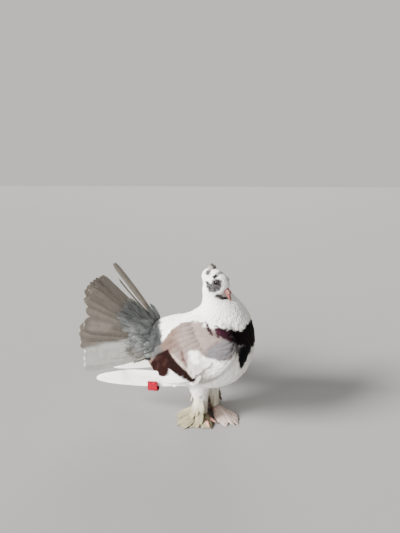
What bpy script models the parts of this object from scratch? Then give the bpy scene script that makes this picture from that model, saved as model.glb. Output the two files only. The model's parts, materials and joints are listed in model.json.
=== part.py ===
"""Indian fantail pigeon standing with its tail raised, as separate solids for each part of the bird.

The bird looks along +X, its left side is +Y, and its feet stand on the plane z = 0.
Sizes are in millimetres, measured from the point on the floor between the feet, and
each mesh is written in metres and centred on the middle of the whole bird's outline.
"""
import math
import random

import bmesh
import bpy
import numpy as np
from mathutils import Matrix, Vector

for old in list(bpy.data.objects):
    bpy.data.objects.remove(old, do_unlink=True)

MM = 0.001
GAP = 0.3
FLAT_ANGLE = math.radians(0.4)
RIGHT, LEFT = -1, 1
SIDE_NAMES = {RIGHT: "right", LEFT: "left"}

# Body: dorsal point (x, z), ventral point (x, z), half width, and how far the widest
# line leans towards the belly, from the root of the tail to the top of the neck
BODY_STATIONS = (
    (-101, 152, -101, 124, 12, 0.00),
    (-95, 162, -98, 109, 24, 0.00),
    (-84, 169, -88, 94, 36, 0.05),
    (-66, 176, -64, 78, 49, 0.08),
    (-48, 180, -36, 66, 58, 0.10),
    (-34, 185, -6, 61, 63, 0.10),
    (-23, 191, 28, 65, 64, 0.06),
    (-15, 198, 56, 80, 61, 0.02),
    (-10, 205, 73, 105, 57, 0.00),
    (-7, 212, 80, 134, 52, -0.04),
    (-7, 219, 79, 162, 45, -0.06),
    (-8, 226, 72, 188, 37, -0.06),
    (-9, 234, 59, 207, 30, -0.04),
    (-7, 243, 42, 219, 23, 0.00),
)
BODY_STEPS = 2
BODY_SIDES = 28

# Head: centre, turn towards the bird's right, dip of the bill, and half sizes
HEAD_CENTRE = Vector((16, -4, 243))
HEAD_YAW = math.radians(-20)
HEAD_DIP = math.radians(30)
# Along the head from the nape to the forehead: place, half width, top, bottom
HEAD_STATIONS = (
    (-27.5, 5, 5, 5),
    (-25, 11, 11, 11),
    (-16.5, 15.5, 16.5, 17),
    (-8, 17.5, 19.5, 20),
    (2, 17.5, 19.5, 20),
    (11, 15.5, 17.5, 17.5),
    (18, 12.5, 13.5, 13.5),
    (22.5, 8.5, 9, 9),
    (24.5, 4.5, 4.5, 5),
)
HEAD_SIDES = 24

# Planes of the thin cuts between neck and torso, and between head and neck
NECK_CUT = (Vector((20, 0, 176)), Vector((0.38, 0, 1)))
HEAD_CUT = (Vector((14, 0, 220)), Vector((-0.32, 0, 1)))

# Bill, in the head's own frame: place of its base and its own dip below the head's line
BILL_BASE = Vector((22.5, 0, -1))
BILL_DIP = math.radians(29)
BILL_LENGTH = 18.5
BILL_HALF_WIDTH = 4.9
BILL_UPPER_HEIGHT = 5.2
BILL_LOWER_HEIGHT = 3.8
BILL_HOOK = 1.8
CERE_LENGTH = 7.5
CERE_SWELL = 1.5

# Eye, in the head's own frame
EYE_PLACE = Vector((7.5, 11.8, 7.2))
EYE_RADIUS = 4.4
LID_WIDTH = 1.3

# Nostril slits in the cere, in the bill's own frame, and the corner of the mouth behind it
NOSTRIL_PLACE = Vector((5.6, 3.9, 3.7))
NOSTRIL_HALF_SIZES = (1.9, 1.1, 0.5)
GAPE_LENGTH = 5.0
GAPE_HEIGHT = 0.6

# Crest: small feathers on a short row across the crown, rising to a peak
CREST_ROOT = Vector((-15, 0, 13))
CREST_LENGTH = 9.5
CREST_FEATHERS = 7
CREST_SPREAD = math.radians(26)
CREST_LEAN = math.radians(28)

# Folded wing: centre, half sizes along, across and through, and the line of its feathers
WING_CENTRE = Vector((-1, 44, 142))
WING_HALF_SIZES = (69, 52, 25)
WING_DROP = math.radians(22)
WING_TOE_IN = math.radians(5)
WING_LEAN = math.radians(12)

# Flight feathers of the folded wing: the fleshy hand that holds their roots, and the
# long feathers stacked from the lowest and longest to the highest and shortest
HAND_FRONT = Vector((34, 50, 106))
HAND_BACK = Vector((-50, 53, 81))
HAND_DEPTH = 30
HAND_THICKNESS = 11
PRIMARY_ROOT = Vector((-26, 53, 80))
PRIMARY_TIP = {RIGHT: Vector((-196, 46, 57)), LEFT: Vector((-203, 24, 48))}
PRIMARY_COUNT = 6
PRIMARY_STEP_UP = 3.5
PRIMARY_STEP_OUT = 0.95
PRIMARY_STEP_SHORT = (0, 3, 11, 24, 40, 58)
PRIMARY_HALF_WIDTH = 8.5
PRIMARY_THICKNESS = 0.6

# Tiers of feathers over the wing, each from its upper to its lower feather: count, places
# of the first and last tip along and up from the wing's centre, places of the first and
# last root, half width, rise over the wing
WING_TIERS = (
    ("tertials", 2, (107, 10), (103, 3), (42, 14), (43, 7), 8.5, 3.6),
    ("secondaries", 6, (101, -5), (79, -35), (44, 6), (18, -40), 8.5, 2.6),
    ("greater_coverts", 6, (53, 16), (24, -47), (24, 24), (-4, -36), 8.0, 2.0),
    ("median_coverts", 5, (30, 32), (4, -36), (2, 34), (-20, -28), 8.5, 1.8),
)
WING_RIM = 0.866
WING_RIM_FALL = 13
FLIGHT_THICKNESS = 0.8
FEATHER_EDGE = 0.5
FEATHER_STEP = 1.2
ROOT_SINK = 2.5

# Tape folded round the lower edge of the right wing's long feathers
TAPE_PLACE = 0.30
TAPE_LENGTH = 18
TAPE_DEPTH = 18
TAPE_THICKNESS = 0.9
TAPE_FOLD = 2.2
TAPE_HANG = 2.0

# Tail: apex of its cone, angle of the cone's axis above the level line, half angle of
# the cone, and the arc from the middle feather round to the outermost one
TAIL_APEX = Vector((-86, 0, 143))
TAIL_AXIS = {RIGHT: math.radians(-3), LEFT: math.radians(-13)}
TAIL_FLARE = {RIGHT: math.radians(44), LEFT: math.radians(41)}
TAIL_FIRST = math.radians(8)
TAIL_ARC = {RIGHT: math.radians(112), LEFT: math.radians(109)}
TAIL_COUNT = {RIGHT: 12, LEFT: 11}
TAIL_LENGTH = 146
TAIL_SIDE_SHORTER = 12
TAIL_HALF_WIDTH = 13.5
TAIL_THICKNESS = 0.9
TAIL_FLESH_REACH = 44
TAIL_FLESH_THICKNESS = 9
TAIL_NOTCHED = 5
TAIL_NOTCH = 11
# Feathers of the left half that stand up alone: rise, turn to the left, length, half width
TAIL_UPRIGHT = ((math.radians(50.8), math.radians(3), 150, 8.5),
                (math.radians(46), math.radians(3), 123, 3.0))
# The outermost feathers of each half grow from lower down the rump
TAIL_LOW_FROM = math.radians(72)
TAIL_LOW_DROP = Vector((0, 9, -36))
# Coverts over the root of the tail
COVERT_COUNT = 6
COVERT_FIRST = math.radians(17)
COVERT_LENGTH = 74
COVERT_HALF_WIDTH = 12
COVERT_RISE = 5.5

# Legs: top of the feathered leg, ankle, heading of the foot
LEG_TOP = {RIGHT: Vector((-9, -24, 84)), LEFT: Vector((-5, 26, 84))}
ANKLE = {RIGHT: Vector((-4, -10, 9)), LEFT: Vector((8, 18, 9))}
FOOT_HEADING = {RIGHT: math.radians(-52), LEFT: math.radians(-30)}
LEG_RADII = ((0.0, 21), (0.25, 19), (0.5, 14.5), (0.75, 11), (1.0, 9.5))
TOE_LENGTHS = {-1: 25, 0: 30, 1: 24}
TOE_SPREAD = math.radians(32)
TOE_RADIUS = 4.6
HIND_TOE_LENGTH = 14
CLAW_LENGTH = 7.5
CLAW_RADIUS = 1.5
SOLE_CUT = 0.8
# Feathers of the feet: way each one points, length from the ankle, height of its root
FOOT_FEATHERS = {
    RIGHT: ((-158, 46, 10), (-141, 54, 10), (-122, 50, 10), (-103, 40, 9), (-78, 36, 8),
            (-44, 38, 8)),
    LEFT: ((-62, 46, 9), (-45, 56, 8), (-28, 60, 9), (-11, 50, 8), (98, 40, 9),
           (120, 42, 10), (142, 38, 10)),
}
FOOT_FEATHER_HALF_WIDTH = 5.2
FOOT_FEATHER_THICKNESS = 1.0
# Feathers that hang from the back of the leg: way out, height of root and of tip, reach
LEG_FEATHERS = ((150, 46, 20, 21), (180, 50, 17, 25), (210, 44, 20, 22), (240, 48, 24, 18),
                (270, 42, 19, 17))

COLOURS = {
    "white_feather": ((0.83, 0.80, 0.76), 0.75),
    "wing_feather": ((0.47, 0.39, 0.37), 0.72),
    "tail_feather": ((0.26, 0.23, 0.21), 0.70),
    "bill_horn": ((0.60, 0.42, 0.38), 0.45),
    "eye_dark": ((0.012, 0.010, 0.010), 0.08),
    "claw_horn": ((0.35, 0.27, 0.24), 0.42),
    "red_tape": ((0.62, 0.02, 0.05), 0.40),
}


def material(name):
    """The Principled material of that name, made the first time it is asked for."""
    found = bpy.data.materials.get(name)
    if found:
        return found
    colour, roughness = COLOURS[name]
    made = bpy.data.materials.new(name)
    made.use_nodes = True
    shader = made.node_tree.nodes["Principled BSDF"]
    shader.inputs["Base Color"].default_value = (*colour, 1)
    shader.inputs["Roughness"].default_value = roughness
    shader.inputs["Metallic"].default_value = 0.0
    made.diffuse_color = (*colour, 1)
    return made


def new_object(name, mesh_edit, finish=None):
    """An object in the scene from a bmesh in millimetres, freed afterwards."""
    bmesh.ops.recalc_face_normals(mesh_edit, faces=mesh_edit.faces)
    mesh = bpy.data.meshes.new(name)
    mesh_edit.to_mesh(mesh)
    mesh_edit.free()
    made = bpy.data.objects.new(name, mesh)
    bpy.context.scene.collection.objects.link(made)
    if finish:
        mesh.materials.append(material(finish))
    return made


def smooth_rows(rows, steps):
    """Rows of numbers with a smooth curve's values added between each two of them."""
    rows = np.array(rows, float)
    padded = np.vstack([2 * rows[0] - rows[1], rows, 2 * rows[-1] - rows[-2]])
    out = []
    for i in range(len(rows) - 1):
        a, b, c, d = padded[i:i + 4]
        for t in np.arange(steps) / steps:
            out.append(0.5 * (2 * b + (c - a) * t + (2 * a - 5 * b + 4 * c - d) * t ** 2
                              + (3 * b - a - 3 * c + d) * t ** 3))
    out.append(rows[-1])
    return out


def loft(rings):
    """A closed bmesh through rings of equal count, each end closed by a fan."""
    edit = bmesh.new()
    rows = [[edit.verts.new(point) for point in ring] for ring in rings]
    count = len(rows[0])
    for low, high in zip(rows, rows[1:]):
        for i in range(count):
            j = (i + 1) % count
            edit.faces.new((low[i], low[j], high[j], high[i]))
    for ring in (rows[0], rows[-1]):
        middle = edit.verts.new(sum((v.co for v in ring), Vector()) / count)
        for i in range(count):
            edit.faces.new((ring[i], ring[(i + 1) % count], middle))
    bmesh.ops.recalc_face_normals(edit, faces=edit.faces)
    return edit


def body_rings():
    """Rings round the body from the root of the tail, over the chest, to the neck."""
    rings = []
    for dx, dz, vx, vz, half_width, lean in smooth_rows(BODY_STATIONS, BODY_STEPS):
        dorsal, ventral = Vector((dx, 0, dz)), Vector((vx, 0, vz))
        middle, up = (dorsal + ventral) / 2, (dorsal - ventral) / 2
        ring = []
        for i in range(BODY_SIDES):
            angle = math.tau * i / BODY_SIDES
            rise = math.cos(angle)
            side = math.sin(angle) * half_width * (1 - lean * rise)
            ring.append(middle + up * rise + Vector((0, side, 0)))
        rings.append(ring)
    return rings


def head_frame():
    """The turn and place of the head: x to the forehead, y to its left, z to the crown."""
    turn = Matrix.Rotation(HEAD_YAW, 4, "Z") @ Matrix.Rotation(HEAD_DIP, 4, "Y")
    return Matrix.Translation(HEAD_CENTRE) @ turn


def head_rings():
    """Rings along the head, from the nape to the forehead."""
    frame = head_frame()
    rings = []
    for place, half_width, top, bottom in smooth_rows(HEAD_STATIONS, 2):
        ring = []
        for i in range(HEAD_SIDES):
            angle = math.tau * i / HEAD_SIDES
            rise = math.cos(angle)
            height = rise * (top if rise > 0 else bottom)
            ring.append(frame @ Vector((place, math.sin(angle) * half_width, height)))
        rings.append(ring)
    return rings


def boolean(target, operands, kind, solver="EXACT"):
    """Joins or cuts the target with the operand objects, which are then removed."""
    group = bpy.data.collections.new("operands")
    bpy.context.scene.collection.children.link(group)
    for operand in operands:
        group.objects.link(operand)
    step = target.modifiers.new(kind.lower(), "BOOLEAN")
    step.operation = kind
    step.solver = solver
    step.operand_type = "COLLECTION"
    step.collection = group
    graph = bpy.context.evaluated_depsgraph_get()
    result = bpy.data.meshes.new_from_object(target.evaluated_get(graph))
    target.modifiers.remove(step)
    old, target.data = target.data, result
    bpy.data.meshes.remove(old)
    for operand in operands:
        bpy.data.objects.remove(operand, do_unlink=True)
    bpy.data.collections.remove(group)
    keep_largest(target)
    return target


def keep_largest(target):
    """Leaves only the largest closed surface of the object's mesh."""
    edit = bmesh.new()
    edit.from_mesh(target.data)
    bmesh.ops.remove_doubles(edit, verts=edit.verts, dist=0.002)
    bmesh.ops.dissolve_degenerate(edit, edges=edit.edges, dist=0.002)
    waiting = set(edit.faces)
    shells = []
    while waiting:
        stack, shell = [waiting.pop()], set()
        while stack:
            face = stack.pop()
            shell.add(face)
            for edge in face.edges:
                for other in edge.link_faces:
                    if other in waiting:
                        waiting.discard(other)
                        stack.append(other)
        shells.append(shell)
    largest = max(shells, key=lambda shell: sum(face.calc_area() for face in shell))
    spare = [face for face in edit.faces if face not in largest]
    bmesh.ops.delete(edit, geom=spare, context="FACES")
    bmesh.ops.dissolve_limit(edit, angle_limit=FLAT_ANGLE, verts=edit.verts, edges=edit.edges)
    bmesh.ops.triangulate(edit, faces=edit.faces)
    edit.to_mesh(target.data)
    edit.free()


def cut_half(source, point, normal, keep_front):
    """A copy of the mesh on one side of a plane, closed there, half a gap away from it."""
    edit = bmesh.new()
    edit.from_mesh(source.data)
    normal = normal.normalized()
    shift = normal * (GAP / 2 if keep_front else -GAP / 2)
    parts = edit.verts[:] + edit.edges[:] + edit.faces[:]
    bmesh.ops.bisect_plane(edit, geom=parts, plane_co=point + shift, plane_no=normal,
                           clear_inner=keep_front, clear_outer=not keep_front)
    rim = [edge for edge in edit.edges if edge.is_boundary]
    bmesh.ops.contextual_create(edit, geom=rim)
    bmesh.ops.triangulate(edit, faces=edit.faces)
    return edit


def inflated(source, distance):
    """A copy of the object with its surface moved out by the distance, as a cutter."""
    edit = bmesh.new()
    edit.from_mesh(source.data)
    edit.normal_update()
    moved = [(vert, vert.co + vert.normal * distance * vert.calc_shell_factor())
             for vert in edit.verts]
    for vert, place in moved:
        vert.co = place
    return new_object("cutter", edit)


def tube(points, radii, sides=10, flat=1.0):
    """A closed tapered tube along points; flat scales its height against its width."""
    rings = []
    for i, point in enumerate(points):
        ahead = points[min(i + 1, len(points) - 1)] - points[max(i - 1, 0)]
        ahead.normalize()
        across = ahead.cross(Vector((0, 0, 1)))
        if across.length < 0.1:
            across = Vector((0, 1, 0))
        across.normalize()
        up = across.cross(ahead)
        ring = []
        for j in range(sides):
            angle = math.tau * j / sides
            ring.append(point + across * math.cos(angle) * radii[i]
                        + up * math.sin(angle) * radii[i] * flat)
        rings.append(ring)
    return loft(rings)


def wing_frame(side):
    """Turn and place of the wing: -x along its feathers, z out of the body."""
    turn = (Matrix.Rotation(side * WING_TOE_IN, 4, "Z") @ Matrix.Rotation(-WING_DROP, 4, "Y")
            @ Matrix.Rotation(side * WING_LEAN, 4, "X"))
    axes = Matrix(((1, 0, 0, 0), (0, 0, side, 0), (0, -side, 0, 0), (0, 0, 0, 1)))
    place = Vector((WING_CENTRE.x, side * WING_CENTRE.y, WING_CENTRE.z))
    return Matrix.Translation(place) @ turn @ axes


def bill_frame():
    """The turn and place of the bill: x out to its tip, z up through its upper half."""
    return (head_frame() @ Matrix.Translation(BILL_BASE)
            @ Matrix.Rotation(BILL_DIP, 4, "Y"))


def bill_rings(top, steps=8, sides=10):
    """Rings of the upper or the lower half of the bill, flat where the two halves meet."""
    frame = bill_frame()
    height = BILL_UPPER_HEIGHT if top else BILL_LOWER_HEIGHT
    length = BILL_LENGTH if top else BILL_LENGTH - BILL_HOOK
    rings = []
    for i in range(steps):
        t = i / (steps - 1)
        taper = math.sqrt(max(1 - t ** 2.4, 0.02)) * (1 - 0.45 * t)
        along = -5 + (length + 5) * t
        droop = -BILL_HOOK * max(along / BILL_LENGTH, 0) ** 4
        edge = GAP / 2 if top else -GAP / 2
        ring = []
        for j in range(sides):
            angle = math.pi * j / (sides - 1)
            swell = 0
            if top and 0 < along < CERE_LENGTH:
                swell = CERE_SWELL * math.sin(math.pi * along / CERE_LENGTH)
            rise = math.sin(angle) * (height * taper + swell)
            side = math.cos(angle) * BILL_HALF_WIDTH * taper
            ring.append(frame @ Vector((along, side, edge + droop + (rise if top else -rise))))
        rings.append(ring)
    return rings


def build_body():
    """Head, neck and torso, modelled whole with the bill's pocket and parted by thin cuts."""
    whole = new_object("whole_body", loft(body_rings()))
    boolean(whole, [new_object("head_form", loft(head_rings()))], "UNION")
    for name, top in (("bill_upper", True), ("bill_lower", False)):
        bill = new_object(name, loft(bill_rings(top)), "bill_horn")
        boolean(whole, [inflated(bill, GAP)], "DIFFERENCE")
        if top:
            for side in (RIGHT, LEFT):
                slit = bmesh.new()
                place = Matrix.Translation((NOSTRIL_PLACE.x, side * NOSTRIL_PLACE.y, NOSTRIL_PLACE.z))
                bmesh.ops.create_uvsphere(slit, u_segments=10, v_segments=6, radius=1,
                                          matrix=bill_frame() @ place
                                          @ Matrix.Diagonal((*NOSTRIL_HALF_SIZES, 1)))
                boolean(bill, [new_object("slit", slit)], "DIFFERENCE")
    corner = bmesh.new()
    bmesh.ops.create_cube(corner, size=1, matrix=bill_frame()
                          @ Matrix.Diagonal((2 * GAPE_LENGTH, 2.6 * BILL_HALF_WIDTH, GAPE_HEIGHT, 1)))
    boolean(whole, [new_object("corner", corner)], "DIFFERENCE")
    torso = new_object("torso", cut_half(whole, *NECK_CUT, keep_front=False), "white_feather")
    upper = new_object("upper", cut_half(whole, *NECK_CUT, keep_front=True))
    neck = new_object("neck", cut_half(upper, *HEAD_CUT, keep_front=False), "white_feather")
    head = new_object("head", cut_half(upper, *HEAD_CUT, keep_front=True), "white_feather")
    bpy.data.objects.remove(upper, do_unlink=True)
    return whole, torso, neck, head


def build_eyes(head):
    """Each eye is a ball in a socket, with a ring of lid round it on the head."""
    frame = head_frame()
    for side in (RIGHT, LEFT):
        centre = frame @ Vector((EYE_PLACE.x, side * EYE_PLACE.y, EYE_PLACE.z))
        out = (frame.to_3x3() @ Vector((0.12, side, 0.05))).normalized()
        turn = out.to_track_quat("Z", "Y").to_matrix().to_4x4()
        place = Matrix.Translation(centre) @ turn
        lid = bmesh.new()
        bmesh.ops.create_uvsphere(lid, u_segments=16, v_segments=8,
                                  radius=EYE_RADIUS + LID_WIDTH, matrix=place)
        boolean(head, [new_object("lid", lid)], "UNION")
        opening = bmesh.new()
        bmesh.ops.create_cone(opening, cap_ends=True, segments=16, radius1=EYE_RADIUS - 0.9,
                              radius2=EYE_RADIUS + 0.6, depth=8,
                              matrix=place @ Matrix.Translation((0, 0, 5)))
        socket = bmesh.new()
        bmesh.ops.create_uvsphere(socket, u_segments=16, v_segments=8,
                                  radius=EYE_RADIUS + GAP, matrix=place)
        boolean(head, [new_object("opening", opening)], "DIFFERENCE")
        boolean(head, [new_object("socket", socket)], "DIFFERENCE")
        ball = bmesh.new()
        bmesh.ops.create_uvsphere(ball, u_segments=16, v_segments=8, radius=EYE_RADIUS,
                                  matrix=place)
        new_object("eye_" + SIDE_NAMES[side], ball, "eye_dark")


def feather(points, across, outward, half_widths, thickness, flat=False):
    """One closed vane along points, thickest along its shaft unless it is flat.

    Its two faces are split into triangles alike, so that they never cross."""
    columns = ((-1, FEATHER_EDGE), (0, thickness), (1, FEATHER_EDGE))
    if flat:
        columns = ((-1, thickness), (1, thickness))
    edit = bmesh.new()
    rows = []
    for point, side_way, out, half_width in zip(points, across, outward, half_widths):
        row = []
        for offset, thick in columns:
            base = point + side_way * half_width * offset
            crown = out * (0.08 * half_width * (1 - abs(offset)))
            row.append([edit.verts.new(base + crown + out * thick / 2),
                        edit.verts.new(base + crown - out * thick / 2)])
        rows.append(row)
    last = len(columns) - 1
    for low, high in zip(rows, rows[1:]):
        for i in range(last):
            for face in (0, 1):
                a, b, c, d = low[i][face], low[i + 1][face], high[i + 1][face], high[i][face]
                edit.faces.new((a, b, c))
                edit.faces.new((a, c, d))
        for i in (0, last):
            edit.faces.new((low[i][0], low[i][1], high[i][1]))
            edit.faces.new((low[i][0], high[i][1], high[i][0]))
    for row in (rows[0], rows[-1]):
        for i in range(last):
            edit.faces.new((row[i][0], row[i][1], row[i + 1][1]))
            edit.faces.new((row[i][0], row[i + 1][1], row[i + 1][0]))
    return new_object("feather", edit)


def vane_width(t):
    """Width of a vane from its root at 0 to its rounded tip at 1, as a part of the widest."""
    return (0.35 + 0.65 * math.sin(math.pi / 2 * min(1, t / 0.6))) * (1 - 0.68 * t ** 6)


def straight_feather(root, tip, out, half_width, thickness, bend=0.0,
                     places=(0.0, 0.4, 0.85, 1.0), flat=True):
    """A feather from root to tip whose face looks along out, bent by a few millimetres."""
    way = (tip - root).normalized()
    side_way = way.cross(out).normalized()
    face = side_way.cross(way).normalized()
    points = [root.lerp(tip, t) - face * bend * t * t for t in places]
    widths = [half_width * vane_width(t) for t in places]
    count = len(places)
    return feather(points, [side_way] * count, [face] * count, widths, thickness, flat)


def build_crest(head):
    """Small pointed feathers in a row across the back of the crown."""
    frame = head_frame()
    feathers = []
    for i in range(CREST_FEATHERS):
        place = 2 * i / (CREST_FEATHERS - 1) - 1
        fan = Matrix.Rotation(-place * CREST_SPREAD, 3, "X")
        lean = Matrix.Rotation(-CREST_LEAN, 3, "Y")
        way = fan @ lean @ Vector((0, 0, 1))
        out = fan @ lean @ Vector((-1, 0, 0))
        length = CREST_LENGTH * (1 - 0.35 * place * place)
        root = CREST_ROOT + Vector((0.6 * (i % 2), place * 5.5, -1.2 * place * place))
        feathers.append(straight_feather(frame @ root, frame @ (root + way * length),
                                         frame.to_3x3() @ out, 2.8, 0.9,
                                         places=(0.0, 0.6, 1.0)))
    boolean(head, feathers, "UNION")


def blade(root, tip, depth, thickness, side, steps=6):
    """A long flat form from root to tip, upright and rounded at its ends."""
    rings = []
    for i in range(steps):
        t = i / (steps - 1)
        middle = root.lerp(tip, t)
        middle = Vector((middle.x, side * middle.y, middle.z))
        fade = math.sqrt(max(1 - abs(2 * t - 1) ** 4, 0.04))
        ring = []
        for j in range(10):
            angle = math.tau * j / 10
            ring.append(middle + Vector((0, math.cos(angle) * thickness / 2 * fade,
                                         math.sin(angle) * depth / 2 * fade)))
        rings.append(ring)
    return loft(rings)


def wing_lie(along, up):
    """How far out of the wing's middle plane its feathers lie, at a place on the wing."""
    length, height, out = WING_HALF_SIZES
    reach = math.hypot(along / length, up / height)
    if reach < WING_RIM:
        return out * math.sqrt(1 - reach * reach)
    return out * math.sqrt(1 - WING_RIM ** 2) - WING_RIM_FALL * (reach - WING_RIM)


def wing_feathers(side):
    """Tiers of feathers over the folded wing, each tucked under the one above it."""
    frame = wing_frame(side)
    turn = frame.to_3x3()
    feathers = []
    for name, count, first_tip, last_tip, first_root, last_root, half_width, rise in WING_TIERS:
        step = math.dist(first_tip, last_tip) / (count - 1)
        tilt = math.asin(min(0.5, FEATHER_STEP / step))
        places = (0.0, 0.4, 0.85, 1.0) if "coverts" in name else (0.0, 0.35, 0.7, 0.92, 1.0)
        for i in range(count):
            t = i / (count - 1)
            tip = Vector(first_tip).lerp(Vector(last_tip), t) + Vector((draw.uniform(-1, 1), 0))
            root = Vector(first_root).lerp(Vector(last_root), t)
            points, across, outward = [], [], []
            for k in places:
                along, up = root.lerp(tip, k)
                out = wing_lie(along, up) + rise * min(1, 2.5 * k) - ROOT_SINK * (1 - min(1, 2.5 * k))
                points.append(frame @ Vector((-along, -side * up, out)))
            for k in range(len(points)):
                ahead = (points[min(k + 1, len(points) - 1)] - points[max(k - 1, 0)]).normalized()
                face = turn @ Vector((0, side * math.sin(tilt), math.cos(tilt)))
                side_way = ahead.cross(face).normalized()
                across.append(side_way)
                outward.append(side_way.cross(ahead).normalized())
            widths = [half_width * vane_width(k) for k in places]
            feathers.append(feather(points, across, outward, widths, FLIGHT_THICKNESS,
                                    flat="coverts" in name))
    return feathers


def long_feathers(side):
    """The long flight feathers, stacked outwards and upwards from the lowest one."""
    way = (PRIMARY_TIP[side] - PRIMARY_ROOT).normalized()
    out = way.cross(Vector((0, 0, 1))).cross(way).cross(way).normalized()
    out = out if out.y > 0 else -out
    rise = out.cross(way).normalized()
    rise = rise if rise.z > 0 else -rise
    mirror = Vector((1, side, 1))
    feathers = []
    for i in range(PRIMARY_COUNT):
        shift = rise * PRIMARY_STEP_UP * i + out * PRIMARY_STEP_OUT * (i - PRIMARY_COUNT / 2)
        root = (PRIMARY_ROOT + shift) * mirror
        tip = (PRIMARY_TIP[side] + shift - way * PRIMARY_STEP_SHORT[i]) * mirror
        feathers.append(straight_feather(root, tip, out * mirror, PRIMARY_HALF_WIDTH,
                                         PRIMARY_THICKNESS, places=(0.0, 0.4, 0.75, 0.93, 1.0)))
    return feathers


def build_wing(side, body):
    """The folded wing: shield against the body, hand, tiers and long flight feathers."""
    shield = bmesh.new()
    sizes = Matrix.Diagonal((*WING_HALF_SIZES, 1))
    bmesh.ops.create_uvsphere(shield, u_segments=20, v_segments=10, radius=1,
                              matrix=wing_frame(side) @ sizes)
    wing = new_object("wing_" + SIDE_NAMES[side], shield, "wing_feather")
    hand = new_object("hand", blade(HAND_FRONT, HAND_BACK, HAND_DEPTH, HAND_THICKNESS, side))
    boolean(wing, [hand] + wing_feathers(side) + long_feathers(side), "UNION")
    boolean(wing, [inflated(body, GAP)], "DIFFERENCE")
    return wing


def tail_way(side, turn):
    """Unit vector along a tail feather, turned by an angle from the middle of the tail."""
    axis_angle, flare = TAIL_AXIS[side], TAIL_FLARE[side]
    axis = Vector((-math.cos(axis_angle), 0, math.sin(axis_angle)))
    top = Vector((math.sin(axis_angle), 0, math.cos(axis_angle)))
    around = top * math.cos(turn) + Vector((0, side, 0)) * math.sin(turn)
    return axis * math.cos(flare) + around * math.sin(flare), around


def tail_place(side, turn, reach):
    """A point of the tail's fan: the outermost feathers start lower, and end on the cone."""
    way, around = tail_way(side, turn)
    low = max(0, (turn - TAIL_LOW_FROM) / (TAIL_ARC[side] - TAIL_LOW_FROM))
    drop = Vector((TAIL_LOW_DROP.x, side * TAIL_LOW_DROP.y, TAIL_LOW_DROP.z)) * low
    return TAIL_APEX + way * reach + drop * (1 - min(1, reach / TAIL_LENGTH))


def tail_flesh(side):
    """The curved root of one half of the tail, which holds its feathers."""
    steps, rows = 10, 3
    edit = bmesh.new()
    grids = []
    for sign in (1, -1):
        grid = []
        for i in range(steps + 1):
            way, around = tail_way(side, TAIL_ARC[side] * i / steps)
            out = (around - way * around.dot(way)).normalized()
            line = []
            for k in range(rows + 1):
                reach = 8 + (TAIL_FLESH_REACH - 8) * k / rows
                thick = TAIL_FLESH_THICKNESS * (1 - 0.6 * (k / rows) ** 2)
                line.append(edit.verts.new(tail_place(side, TAIL_ARC[side] * i / steps, reach)
                                           + out * sign * thick / 2))
            grid.append(line)
        grids.append(grid)
    top, low = grids
    for i in range(steps):
        for k in range(rows):
            edit.faces.new((top[i][k], top[i + 1][k], top[i + 1][k + 1], top[i][k + 1]))
            edit.faces.new((low[i][k], low[i][k + 1], low[i + 1][k + 1], low[i + 1][k]))
        for k in (0, rows):
            edit.faces.new((top[i][k], low[i][k], low[i + 1][k], top[i + 1][k]))
    for i in (0, steps):
        for k in range(rows):
            edit.faces.new((top[i][k], top[i][k + 1], low[i][k + 1], low[i][k]))
    bmesh.ops.triangulate(edit, faces=edit.faces)
    return edit


def fan_feather(side, turn, length, root, half_width, step, rise, thickness, flat=False):
    """A feather of the tail's cone, twisted so that it clears the next one all along."""
    way, around = tail_way(side, turn)
    out = (around - way * around.dot(way)).normalized()
    onward = (tail_way(side, turn + 0.01)[0] - way).normalized()
    points, across, outward = [], [], []
    for k in (0.0, 0.3, 0.62, 0.9, 1.0):
        reach = root + (length - root) * k
        spacing = reach * math.sin(TAIL_FLARE[side]) * step
        tilt = math.asin(min(0.45, FEATHER_STEP / spacing))
        side_way = onward * math.cos(tilt) + out * math.sin(tilt)
        points.append(tail_place(side, turn, reach) + out * (rise + 3 * k * k))
        across.append(side_way)
        outward.append((out * math.cos(tilt) - onward * math.sin(tilt)).normalized())
    widths = [half_width * w for w in (0.08, 0.5, 0.92, 0.85, 0.45)]
    return feather(points, across, outward, widths, thickness, flat)


def build_tail_half(side, body):
    """Half of the raised tail: its root, its feathers side by side and the coverts."""
    edit = tail_flesh(side)
    flesh = new_object("tail_" + SIDE_NAMES[side], edit, "tail_feather")
    half = cut_half(flesh, Vector(), Vector((0, side, 0)), keep_front=True)
    half.to_mesh(flesh.data)
    half.free()
    feathers = []
    count = TAIL_COUNT[side]
    step = (TAIL_ARC[side] - TAIL_FIRST) / (count - 1)
    for i in range(count):
        turn = TAIL_FIRST + step * i
        length = TAIL_LENGTH - TAIL_SIDE_SHORTER * math.sin(turn) + draw.uniform(-3, 2)
        if i == TAIL_NOTCHED:
            length -= TAIL_NOTCH
        feathers.append(fan_feather(side, turn, length, 18, TAIL_HALF_WIDTH, step, 0,
                                    TAIL_THICKNESS))
    step = (TAIL_ARC[side] - COVERT_FIRST) / (COVERT_COUNT - 1)
    for i in range(COVERT_COUNT):
        turn = COVERT_FIRST + step * i
        length = COVERT_LENGTH + draw.uniform(-5, 3)
        feathers.append(fan_feather(side, turn, length, 26, COVERT_HALF_WIDTH, step, COVERT_RISE,
                                    FLIGHT_THICKNESS, flat=True))
    if side == LEFT:
        for rise, turn, length, half_width in TAIL_UPRIGHT:
            way = Vector((-math.cos(rise) * math.cos(turn), math.sin(turn),
                          math.sin(rise) * math.cos(turn)))
            out = Vector((math.sin(rise), -0.27, math.cos(rise))).normalized()
            root = TAIL_APEX + Vector((-15, 8.5, 5))
            feathers.append(straight_feather(root, TAIL_APEX + way * length, out, half_width,
                                             TAIL_THICKNESS))
    boolean(flesh, feathers, "UNION")
    boolean(flesh, [inflated(body, GAP)], "DIFFERENCE")
    return flesh


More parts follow.
